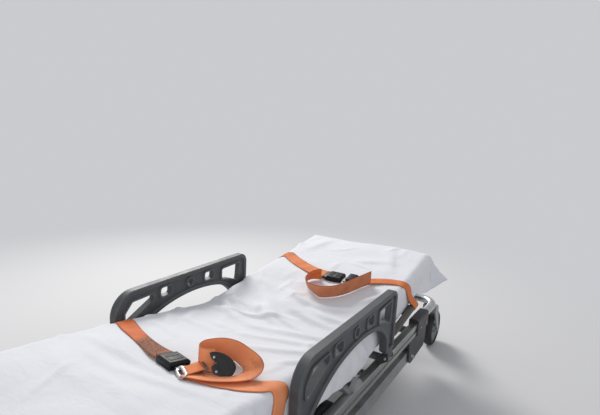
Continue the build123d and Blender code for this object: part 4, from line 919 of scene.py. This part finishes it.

# %% [markdown]
# The weave of a belt is a row of ribs along its length with a fine twill across them. Both come from the
# belt's own UV map, so they turn with it. The face is bright orange, and the reverse is painted browner as
# shade. Grime gathers in cloudy patches, and the colour darkens towards the two edges. The near left belt
# has a dark stained stretch, so its look takes a zone, and the right half of the thigh belt and its loop
# get a lighter orange of their own, which is painted light.

# %% Webbing
def from_middle(tree, value, middle):
    """How far a value is from a middle."""
    return maths(tree, "ABSOLUTE", maths(tree, "SUBTRACT", value, middle))


def webbing_look(name, dark, light, stain, zone=None):
    """Woven belt: ribs, twill, grime and darker edges. zone is (middle, half length) of a stained stretch."""
    look, tree, shader, place = new_look(name)
    ribs = wave(tree, place["UV"], 95.0, "X", 0.4)
    twill = wave(tree, place["UV"], 190.0, "DIAGONAL")
    weave = maths(tree, "MULTIPLY_ADD", twill, 0.45, ribs)
    cloud = noise(tree, place["Object"], 26.0, 6.0)
    colour = ramp(tree, maths(tree, "MULTIPLY_ADD", weave, 0.28, cloud), dark, light)
    grime = noise(tree, place["Object"], 11.0, 8.0, 0.75)
    dirt = remap(tree, grime, (0.56, 0.76), (0.0, 0.75))
    spot = add_node(tree, "SeparateXYZ", {"Vector": place["UV"]}).outputs
    if zone:
        speckle = remap(tree, noise(tree, place["Object"], 260.0, 6.0), (0.24, 0.57))
        away = from_middle(tree, spot["Y"], zone[0])
        inside = remap(tree, away, (zone[1], zone[1] * 0.45), kind="SMOOTHSTEP")
        dirt = maths(tree, "MAXIMUM", dirt, maths(tree, "MULTIPLY", speckle, inside))
    colour = mix_colours(tree, dirt, colour, stain)
    # the colour darkens towards both edges of the belt
    off = from_middle(tree, spot["X"], WIDTH / 2)
    border = remap(tree, off, (WIDTH / 2 - 0.0035, WIDTH / 2 - 0.0005), (0.0, 0.6))
    colour = mix_colours(tree, border, colour, (dark[0] * 0.55, dark[1] * 0.5, dark[2] * 0.5))
    set_inputs(tree, shader, {"Base Color": colour, "Normal": bumped(tree, weave, 0.6, 0.0006),
                              "Roughness": 0.72, "Specular IOR Level": 0.30, "Sheen Weight": 0.10,
                              "Sheen Roughness": 0.45})
    return look


webbing = webbing_look("webbing", (0.44, 0.085, 0.02), (0.86, 0.25, 0.065), (0.22, 0.07, 0.03))
# a browner orange for the reverse: painted shade
webbing_painted_shade = webbing_look("webbing_reverse_painted_shade", (0.36, 0.10, 0.042), (0.70, 0.25, 0.115), (0.17, 0.065, 0.035))
webbing_stained = webbing_look("webbing_stained", (0.40, 0.066, 0.012), (0.80, 0.185, 0.038),
                               (0.085, 0.045, 0.020), (0.362, 0.080))
# a lighter orange for the right thigh belt and its loop: painted light
webbing_painted_light = webbing_look("webbing_painted_light", (0.76, 0.208, 0.084), (0.97, 0.370, 0.162), (0.32, 0.10, 0.06))
print("webbing looks ready")

# %% [markdown]
# The thigh belt, from left to right: up from its anchor on the left rail, over the edge, flat across the
# sheet into the buckle, out of the tongue's slot doubled, round in a standing loop, and flat again to the
# right side and down to the other anchor. The loop is upright at the back and nearly lies down in front.

# %% Thigh belt
THIGH_ANCHOR = -0.376
LYING = 0.0017
EDGE_STEPS = (0.249, 0.2585, 0.2675)
DOWN_SIDE = HALF + 0.0048
DOUBLED_WIDTH = 0.041


def over_edge(side, run_top, run_low, lows):
    """Edge pairs of a belt from the top of the bed over its edge and down the side."""
    pairs = []
    for k, far in enumerate(EDGE_STEPS):
        run = run_top + (run_low - run_top) * k / 6
        pairs.append([on_sheet(side * far, run + half, LYING) for half in (WIDTH / 2, -WIDTH / 2)])
    for k, t in enumerate(lows):
        run = run_top + (run_low - run_top) * (0.5 + 0.5 * k / (len(lows) - 1))
        pairs.append([bed(side * DOWN_SIDE, run + half, t) for half in (WIDTH / 2, -WIDTH / 2)])
    return pairs


thigh_lows = (0.06, 0.03, 0.0, -0.035, -0.0612)
left_thigh = ribbon("thigh_belt_left", over_edge(-1, -0.354, THIGH_ANCHOR, thigh_lows)[::-1] + flat_edges([
    (-228, -188, -234, -236, 1.7), (-200, -200, -204, -249, 1.7), (-160, -217, -150, -265, 1.7),
    (-112, -235, -98, -282, 2.0), (-65, -251, -55, -298, 3.5), (-28, -262, -24, -309, 6.5),
    (-2, -266, 0, -312, 8)]))
right_thigh = ribbon("thigh_belt_right", flat_edges([
    (84, -286, 90, -333, 1.7), (104, -281, 118, -328, 1.7), (124, -277, 144, -324, 1.7),
    (154, -268, 178, -313, 1.7), (188, -247, 214, -292, 1.7),
    (218, -222, 242, -266, 1.7)]) + over_edge(1, -0.362, THIGH_ANCHOR, thigh_lows))
loop_thigh = ribbon("thigh_belt_loop", standing_edges([
    (128, -268, 2, 109, -256, 44), (113, -278, 2, 98, -272, 48), (97, -281, 1.5, 87, -279, 50),
    (80, -270, 1.5, 77, -271, 50), (73, -249, 1.5, 70, -250, 50), (82, -225, 1.5, 79, -227, 50),
    (101, -207, 1.5, 99, -209, 50), (124, -200, 1.5, 130, -202, 50), (142, -205, 1.5, 162, -205, 47),
    (155, -214, 2, 186, -205, 40), (163, -226, 2, 206, -206, 28), (165, -240, 2.5, 213, -226, 17),
    (161, -256, 3, 208, -249, 11), (151, -267, 3.5, 193, -273, 10), (137, -275, 4, 169, -301, 9.5),
    (121, -283, 4.5, 144, -324, 9), (104, -290, 4.5, 120, -336, 8), (90, -296, 4, 100, -343, 6)]))
doubled = ribbon("thigh_belt_doubled", flat_edges([
    (70, -311, 106, -334, 8), (77, -294, 115, -316, 13), (86, -277, 125, -297, 18)]), DOUBLED_WIDTH, False)
under = ribbon("thigh_belt_under", flat_edges([
    (74, -313, 109, -337, 3), (81, -298, 119, -320, 5), (92, -282, 130, -303, 8)]), DOUBLED_WIDTH, False)
left_thigh.data.materials[0] = webbing_stained
# the right half and the loop get the lighter orange: painted light
right_thigh.data.materials[0] = webbing_painted_light
for face_side in (0, 1):
    loop_thigh.data.materials[face_side] = webbing_painted_light
thigh_pieces = [left_thigh, right_thigh, loop_thigh, doubled, under]
print("thigh belt:", sum(len(p.data.polygons) for p in thigh_pieces), "faces")

# %% [markdown]
# The chest belt lies the same way on the backrest: a bright flat stretch on the left, a loop standing on
# its edge that shows its reverse, painted browner as shade, and a narrow tail, squeezed on its edge, that
# drops over the side and goes round the side tube.

# %% Chest belt
CHEST_ANCHOR = 0.418
TAIL_WIDTH = 0.038
TAIL_HALF = 0.018
chest_lows = (0.06, 0.04, 0.022, 0.0055)
left_chest = ribbon("chest_belt_left", over_edge(-1, 0.430, CHEST_ANCHOR, chest_lows)[::-1] + flat_edges([
    (-228, 574, -238, 522, 1.7), (-200, 558, -214, 506, 1.7), (-160, 534, -176, 482, 1.7),
    (-110, 508, -128, 460, 2), (-72, 490, -86, 446, 3.5), (-34, 474, -42, 436, 7), (-4, 462, -8, 432, 12)]))
loop_chest = ribbon("chest_belt_loop", standing_edges([
    (-10, 418, 1.5, 0, 408, 49), (-30, 408, 1.5, -16, 388, 50), (-42, 388, 1.5, -24, 358, 50),
    (-34, 362, 1.5, -16, 326, 50), (-12, 340, 1.5, 4, 306, 50), (20, 320, 1.5, 32, 297, 50),
    (50, 306, 1.5, 62, 297, 50), (82, 324, 1.5, 90, 313, 50), (106, 350, 1.5, 111, 338, 50),
    (123, 384, 1.5, 127, 382, 50), (137, 426, 1.5, 143, 429, 50), (154, 466, 1.5, 156, 469, 50)]))
tail = flat_edges([(134, 486, 152, 448, 9), (162, 510, 178, 474, 6), (194, 528, 208, 490, 4),
                   (222, 540, 232, 496, 2.6)])
for x, run in zip(EDGE_STEPS, (0.416, 0.423, 0.429)):
    tail.append([on_sheet(x, run + half, LYING) for half in (TAIL_HALF, -TAIL_HALF)])
for x, run, t in ((0.2640, 0.436, 0.055), (0.2665, 0.444, 0.034), (0.2770, 0.451, 0.0155),
                  (0.2870, 0.456, 0.002), (0.2835, 0.459, -0.010), (0.2730, 0.460, -0.0142),
                  (0.2610, 0.460, -0.0120)):
    tail.append([bed(x, run + half, t) for half in (TAIL_HALF, -TAIL_HALF)])
right_chest = ribbon("chest_belt_right", tail, TAIL_WIDTH)
chest_pieces = [left_chest, loop_chest, right_chest]
print("chest belt:", sum(len(p.data.polygons) for p in chest_pieces), "faces")

# %% [markdown]
# Small rigid pieces are shaped from primitives in edit mode, the way one would by hand: pick the faces by
# where they look, inset, extrude, and round the edges at the end with a bevel.

# %% Small-part helpers
def start_box(name, size, at=(0, 0, 0)):
    """A cube of the given size, left in edit mode with face selection."""
    bpy.ops.object.select_all(action="DESELECT")
    bpy.ops.mesh.primitive_cube_add(size=1)
    piece = bpy.context.object
    piece.name = name
    bpy.ops.object.mode_set(mode="EDIT")
    bpy.ops.mesh.select_mode(type="FACE")
    bpy.ops.mesh.select_all(action="SELECT")
    bpy.ops.transform.resize(value=size)
    bpy.ops.transform.translate(value=at)
    return piece


def pick(piece, test):
    """Select the faces whose centre and normal pass the test."""
    bpy.ops.mesh.select_mode(type="FACE")
    bpy.ops.mesh.select_all(action="DESELECT")
    bpy.ops.object.mode_set(mode="OBJECT")
    for face in piece.data.polygons:
        face.select = bool(test(face.center, face.normal))
    bpy.ops.object.mode_set(mode="EDIT")


def push(way, scale=(1, 1, 1)):
    """Extrude the picked faces along a vector and scale the new ones."""
    bpy.ops.mesh.extrude_region_move(TRANSFORM_OT_translate={"value": way})
    bpy.ops.transform.resize(value=scale)


def let_in(border, depth=0.0):
    """Inset the picked faces by a border and raise or sink them."""
    bpy.ops.mesh.inset(thickness=border)
    bpy.ops.transform.translate(value=(0, 0, depth))


def close_piece(piece, radius, look, place, segments=3):
    """Round the edges, give the finish and lay the piece in its place."""
    bpy.ops.mesh.select_all(action="SELECT")
    bpy.ops.mesh.normals_make_consistent(inside=False)
    bpy.ops.object.mode_set(mode="OBJECT")
    activate(piece)
    soft = piece.modifiers.new("edges", "BEVEL")
    soft.width = radius
    soft.segments = segments
    soft.angle_limit = math.radians(40)
    bpy.ops.object.modifier_apply(modifier="edges")
    bpy.ops.object.shade_smooth_by_angle(angle=math.radians(38))
    piece.data.materials.append(look)
    piece.data.transform(place)


def ring(name, length, width, thickness, bar, corner):
    """A flat oblong ring with a slot along it, left in edit mode."""
    piece = start_box(name, (width, length, thickness))
    bpy.ops.mesh.select_mode(type="EDGE")
    bpy.ops.mesh.select_all(action="DESELECT")
    bpy.ops.object.mode_set(mode="OBJECT")
    for edge in piece.data.edges:
        start, end = (piece.data.vertices[i].co for i in edge.vertices)
        edge.select = abs(end.z - start.z) > 0.99 * (end - start).length
    bpy.ops.object.mode_set(mode="EDIT")
    bpy.ops.mesh.bevel(offset=corner, segments=5)
    pick(piece, lambda c, n: abs(n.z) > 0.9)
    bpy.ops.mesh.inset(thickness=bar)
    bpy.ops.mesh.delete(type="FACE")
    bpy.ops.mesh.select_mode(type="EDGE")
    bpy.ops.mesh.select_all(action="DESELECT")
    bpy.ops.mesh.select_non_manifold()
    bpy.ops.mesh.bridge_edge_loops()
    bpy.ops.mesh.select_mode(type="FACE")
    return piece


print("shaping helpers ready")

# %% [markdown]
# A finished piece is laid in its place by one matrix. A buckle lies flat on the bed, turned a little. The
# near ring and slide stand turned and tilted over the thigh section, because the belt pulls them round.

# %% Places of the small parts
def from_axes(spot, x_way, y_way, z_way):
    """The matrix of a piece at a spot with the given axes."""
    return Matrix.Translation(spot) @ Matrix((x_way, y_way, z_way)).transposed().to_4x4()


def belt_place(x, run, lift, turn, slope):
    """The matrix of a piece lying on a belt: x along it, z off the bed. turn is in degrees."""
    turn = math.radians(turn)
    z_way = Vector((0, -math.sin(slope), math.cos(slope)))
    along_bed = Vector((0, math.cos(slope), math.sin(slope)))
    x_way = Vector((1, 0, 0)) * math.cos(turn) + along_bed * math.sin(turn)
    return from_axes(Vector(bed(x, run, lift)), x_way, z_way.cross(x_way), z_way)


def thigh_place(x, y, lift, turn, tilt):
    """The matrix of a piece that stands turned and tilted over the thigh section, in degrees."""
    return (Matrix.Translation(Vector(bed(x, float(run_of(y)), lift))) @ Matrix.Rotation(-THIGH, 4, "X")
            @ Matrix.Rotation(math.radians(turn), 4, "Z") @ Matrix.Rotation(math.radians(tilt), 4, "Y"))


print("place helpers ready")

# %% [markdown]
# The buckle is a black moulded case with slanted shoulders where the webbing enters, a blank push button
# let into its top, and an open end for the tongue. The tongue is a bright pressed plate: a ring with a
# long slot for the belt, and a blade that goes into the case.

# %% Buckles and tongues
BUCKLE_LIFT = 0.0985
CASE_SIZE, CASE_AT = (0.054, 0.050, 0.0120), (0.008, 0, 0.0060)
SHOULDER = (-0.008, 0, 0)
BUTTON_SIZE, BUTTON_AT = (0.0190, 0.0300, 0.0022), (0.0128, 0, 0.0152)
BLADE_SIZE, BLADE_AT = (0.020, 0.026, 0.0026), (0.0400, 0, 0.0055)
RING = {"length": 0.0470, "width": 0.0200, "thickness": 0.0032, "bar": 0.0070, "corner": 0.0078}
buckle_places = {
    "thigh": (belt_place(0.030, THIGH_ANCHOR - 0.068, BUCKLE_LIFT, -13, -THIGH), "frame"),
    "chest": (belt_place(0.025, CHEST_ANCHOR - 0.080, BUCKLE_LIFT, 2, BACK), "backrest"),
}
ring_places = {
    "thigh": thigh_place(0.0880, -0.3270, 0.1050, 60, -30),
    "chest": buckle_places["chest"][0] @ Matrix.Translation((0.0475, -0.007, 0.0045)),
}
case_look = finish("buckle_case", (0.008, 0.008, 0.009), (0.016, 0.016, 0.017), (0.42, 0.58), 0.0,
                   (80, 80, 80), 0.0003, (0.09, 0.09, 0.095), 0.0012, 0.8)
button_look = finish("buckle_button", (0.012, 0.012, 0.012), (0.028, 0.028, 0.027), (0.4, 0.55), 0.0,
                     (90, 90, 90), 0.0003, (0.10, 0.10, 0.09), 0.0008, 0.7)
for look in (case_look, button_look):
    look.node_tree.nodes["Principled BSDF"].inputs["Specular IOR Level"].default_value = 0.22
for label, (place, body) in buckle_places.items():
    case = start_box(f"buckle_case_{label}", CASE_SIZE, CASE_AT)
    pick(case, lambda c, n: n.x < -0.9)
    push(SHOULDER, (1, 0.76, 0.9))
    push(SHOULDER, (1, 0.90, 0.62))
    pick(case, lambda c, n: n.z > 0.9 and c.x > -0.01)
    let_in(0.0042, 0.0040)
    bpy.ops.mesh.inset(thickness=0.0055)
    bpy.ops.transform.resize(value=(0.60, 0.96, 1))
    bpy.ops.transform.translate(value=(0.004, 0, 0))
    push((0, 0, -0.0016))
    pick(case, lambda c, n: n.x > 0.9 and c.x > 0.03)
    bpy.ops.mesh.inset(thickness=0.0034)
    push((-0.007, 0, 0))
    close_piece(case, 0.0014, case_look, place, 4)
    button = start_box(f"buckle_button_{label}", BUTTON_SIZE, BUTTON_AT)
    pick(button, lambda c, n: n.z > 0.9)
    let_in(0.0022, 0.0005)
    close_piece(button, 0.0006, button_look, place)
    head = ring(f"tongue_ring_{label}", **RING)
    close_piece(head, 0.0011, looks["tongue_steel"], ring_places[label])
    blade = start_box(f"tongue_blade_{label}", BLADE_SIZE, BLADE_AT)
    close_piece(blade, 0.0006, looks["tongue_steel"], place)
    for piece, slot in ((case, "buckle_black"), (button, "buckle_black"), (head, "tongue_steel"),
                        (blade, "tongue_steel")):
        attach(piece, body)
    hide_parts(f"buckle_{label}")
    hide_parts(f"tongue_{label}")
    print(label, "buckle:", sum(len(p.data.polygons) for p in (case, button, head, blade)), "faces")

# %% [markdown]
# A worn black leather pad with a scalloped edge and two rivets leans inside the near loop. Its outline is
# a closed curve through a few measured points, in the plane it leans in, and a few waves bend it.

# %% Pad
PAD_OUTLINE = [(0, 21.9), (0.4, 17.0), (1.1, 11.2), (4.2, 5.3), (9.4, -1.8), (4.4, -4.4), (-1.5, -7.6),
               (-1.5, -15.3), (0, -21.9), (10.6, -28.4), (23.3, -33.1), (33.5, -32.8), (41.2, -28.4),
               (49.4, -16.6), (45.8, -2.8), (34.1, 10.2), (19.8, 17.9), (8.5, 21.8)]
PAD_MIDDLE = (0.021, -0.006, 0)
PAD_THICK = 0.0028
RIVET_RADIUS, RIVET_RISE = 0.0029, 0.0040
pad_x = Vector((0.513, 0.856, -0.054)).normalized()
pad_y = Vector((-0.571, 0.388, 0.724)).normalized()
pad_place = from_axes(Vector((0.1237, -0.2760, 0.4111)), pad_x, pad_y, pad_x.cross(pad_y))
rim_points = spline([(x / 1000, y / 1000, 0) for x, y in PAD_OUTLINE + PAD_OUTLINE[:1]], 5)[:-1]
bpy.ops.object.select_all(action="DESELECT")
bpy.ops.mesh.primitive_circle_add(vertices=len(rim_points), radius=0.03, fill_type="TRIFAN")
pad = bpy.context.object
pad.name = "belt_pad"
for vertex in pad.data.vertices:
    at_middle = vertex.co.length < 0.01
    vertex.co = PAD_MIDDLE if at_middle else rim_points[vertex.index % len(rim_points)]
bpy.ops.object.mode_set(mode="EDIT")
bpy.ops.mesh.select_all(action="SELECT")
bpy.ops.mesh.subdivide(number_cuts=3)
bpy.ops.object.mode_set(mode="OBJECT")
for vertex in pad.data.vertices:
    x, y = vertex.co.x - 0.022, vertex.co.y + 0.006
    vertex.co.z = 0.0045 * math.cos(x * 55) - 3.2 * y * y + 0.0008 * math.sin(x * 210 + y * 90)
thicken(pad, PAD_THICK)
bpy.ops.object.mode_set(mode="EDIT")
leather = finish("pad_leather", (0.009, 0.009, 0.009), (0.026, 0.025, 0.024), (0.36, 0.58), 0.0,
                 (130, 130, 130), 0.0014, (0.12, 0.11, 0.10), 0.002, 0.8, fine=420)
close_piece(pad, 0.0006, leather, pad_place, 2)
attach(pad, "frame")
for number, y in enumerate((0.0096, -0.0193)):
    bpy.ops.object.select_all(action="DESELECT")
    bpy.ops.mesh.primitive_uv_sphere_add(segments=16, ring_count=8, radius=RIVET_RADIUS)
    rivet = bpy.context.object
    bpy.ops.object.shade_smooth()
    rivet.name = f"pad_rivet_{number}"
    flattened = Matrix.Translation((0.0062, y, RIVET_RISE)) @ Matrix.Diagonal((1, 1, 0.6, 1))
    rivet.data.transform(pad_place @ flattened)
    rivet.data.materials.append(looks["tongue_steel"])
    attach(rivet, "frame")
print("pad:", len(pad.data.polygons), "faces")

# %% [markdown]
# A black grip covers the tongue of the far buckle. A three-bar slide, a ring with a bar across it, holds
# the doubled webbing at the near loop.

# %% Grip and slide
tongue_grip = start_box("tongue_grip", (0.026, 0.046, 0.013), (0.066, 0.004, 0.0120))
pick(tongue_grip, lambda c, n: n.x > 0.9)
push((0.007, 0, 0), (1, 0.8, 0.7))
pick(tongue_grip, lambda c, n: n.z > 0.9)
bpy.ops.mesh.inset(thickness=0.003)
push((0, 0, 0.0012), (0.9, 0.9, 1))
close_piece(tongue_grip, 0.0032, case_look, buckle_places["chest"][0], 4)
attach(tongue_grip, "backrest")
slide_place = thigh_place(0.1065, -0.2885, 0.1125, 63, -38)
slide_ring = ring("belt_slide", 0.046, 0.016, 0.0026, 0.0030, 0.0040)
close_piece(slide_ring, 0.0009, looks["casting"], slide_place)
slide_bar = start_box("belt_slide_bar", (0.0032, 0.042, 0.0024))
close_piece(slide_bar, 0.0009, looks["casting"], slide_place)
for piece in (slide_ring, slide_bar):
    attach(piece, "frame")
print("grip and slide ready")

# %% [markdown]
# A dark grey tube runs beside the head half of the mattress, on both sides. It is bent from one piece: a
# circle is extruded outwards, spun round a quarter turn, extruded along the bed, and spun back in again.
# Its ends go into the tube of the backrest, and the sheet's hem rests against it.

# %% Side tubes of the backrest
TUBE_X, TUBE_R, TUBE_BEND = 0.2735, 0.0115, 0.022
TUBE_START, TUBE_END = 0.250, 0.486
DECK_TUBE_X = 0.229
BEND_STEPS = 8


def bend(centre, angle):
    """Extrude the picked face round a centre, in small steps."""
    for _ in range(BEND_STEPS):
        bpy.ops.mesh.extrude_region_move()
        bpy.ops.transform.rotate(value=angle / BEND_STEPS, orient_axis="Z", center_override=centre)


back_frame = Matrix.Translation(Vector(bed(0, 0.0, 0))) @ Matrix.Rotation(BACK, 4, "X")
for side, name in ((-1, "side_tube_left"), (1, "side_tube_right")):
    bend_x = side * (TUBE_X - TUBE_BEND)
    outwards = side * (TUBE_X - TUBE_BEND - DECK_TUBE_X)
    bpy.ops.object.select_all(action="DESELECT")
    bpy.ops.mesh.primitive_circle_add(vertices=24, radius=TUBE_R, fill_type="NGON")
    side_tube = bpy.context.object
    side_tube.name = name
    bpy.ops.object.mode_set(mode="EDIT")
    bpy.ops.mesh.select_mode(type="FACE")
    bpy.ops.mesh.select_all(action="SELECT")
    bpy.ops.transform.rotate(value=math.radians(90), orient_axis="Y")
    bpy.ops.transform.translate(value=(side * DECK_TUBE_X, TUBE_START, 0))
    push((outwards, 0, 0))
    bend((bend_x, TUBE_START + TUBE_BEND, 0), -side * math.radians(90))
    push((0, TUBE_END - TUBE_START - 2 * TUBE_BEND, 0))
    bend((bend_x, TUBE_END - TUBE_BEND, 0), -side * math.radians(90))
    push((-outwards, 0, 0))
    close_piece(side_tube, 0.0004, looks["dark_tube"], back_frame, 1)
    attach(side_tube, "backrest")
    print(name, "size", [round(v, 3) for v in side_tube.dimensions])

# %% [markdown]
# Fasteners give the metalwork its scale. One hexagon head with a washer is modelled once with a few dozen
# faces, and copied with its own mesh to each pivot, clamp and hinge.

# %% Bolts
bpy.ops.object.select_all(action="DESELECT")
bpy.ops.mesh.primitive_cylinder_add(vertices=6, radius=0.5, depth=0.4, location=(0, 0, 0.36))
hexagon = bpy.context.object
bpy.ops.object.mode_set(mode="EDIT")
pick(hexagon, lambda c, n: n.z > 0.9)
let_in(0.06, 0.04)
bpy.ops.mesh.inset(thickness=0.14)
push((0, 0, -0.05))
bpy.ops.object.mode_set(mode="OBJECT")
bpy.ops.object.transform_apply()
bpy.ops.mesh.primitive_cylinder_add(vertices=20, radius=0.66, depth=0.16, location=(0, 0, 0.08))
washer = bpy.context.object
bpy.ops.object.transform_apply()
activate(hexagon)
washer.select_set(True)
bpy.ops.object.join()
bolt = bpy.context.object
bolt.data.materials.append(looks["bright_tube"])
# the axis a bolt is turned about, its place and its size: about Y it looks outwards, about X to the foot
BOLTS = [("Y", 0.2812, 0.590, 0.100, 0.011), ("Y", 0.2812, -0.330, 0.100, 0.011),
         ("Y", 0.2871, 0.655, 0.186, 0.006), ("Y", 0.2871, 0.715, 0.186, 0.006),
         ("Y", 0.2861, -0.934, 0.186, 0.006), ("Y", 0.2861, -0.906, 0.186, 0.006),
         ("Y", 0.2822, 0.935, 0.075, 0.008), ("X", 0.292, -0.2052, 0.228, 0.006),
         ("X", 0.292, 0.2828, 0.228, 0.006)]
for row, (axis, x, y, z, size) in enumerate(BOLTS):
    for number, side in enumerate((-1, 1)):
        head = bolt.copy()
        head.data = bolt.data.copy()
        scene.collection.objects.link(head)
        head.name = f"bolt_{2 * row + number}"
        turn = Matrix.Rotation(math.radians(90) * (side if axis == "Y" else 1), 4, axis)
        head.data.transform(Matrix.Translation((side * x, y, z)) @ turn @ Matrix.Scale(size, 4))
        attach(head, "frame")
bpy.data.objects.remove(bolt)
print(2 * len(BOLTS), "bolts placed")

# %% [markdown]
# The sheet lies on the mattress, and the sheet of the CAD model is hidden. Each belt rides on the body its
# anchor is bolted to, and stands in for the plain strap of the CAD model, which is hidden.

# %% Rides of the soft pieces
BLEND = 0.07
bed(0, -BLEND, 0.05).tolist()
bed(0, BLEND, 0.05).tolist()
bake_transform(sheet)
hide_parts("sheet_leg", "sheet_back", "sheet_fold")
for pieces, body in ((thigh_pieces, "frame"), (chest_pieces, "backrest")):
    for piece in pieces:
        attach(piece, body)
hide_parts("strap_thigh")
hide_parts("strap_chest")
print("belts ride:", len(thigh_pieces) + len(chest_pieces))
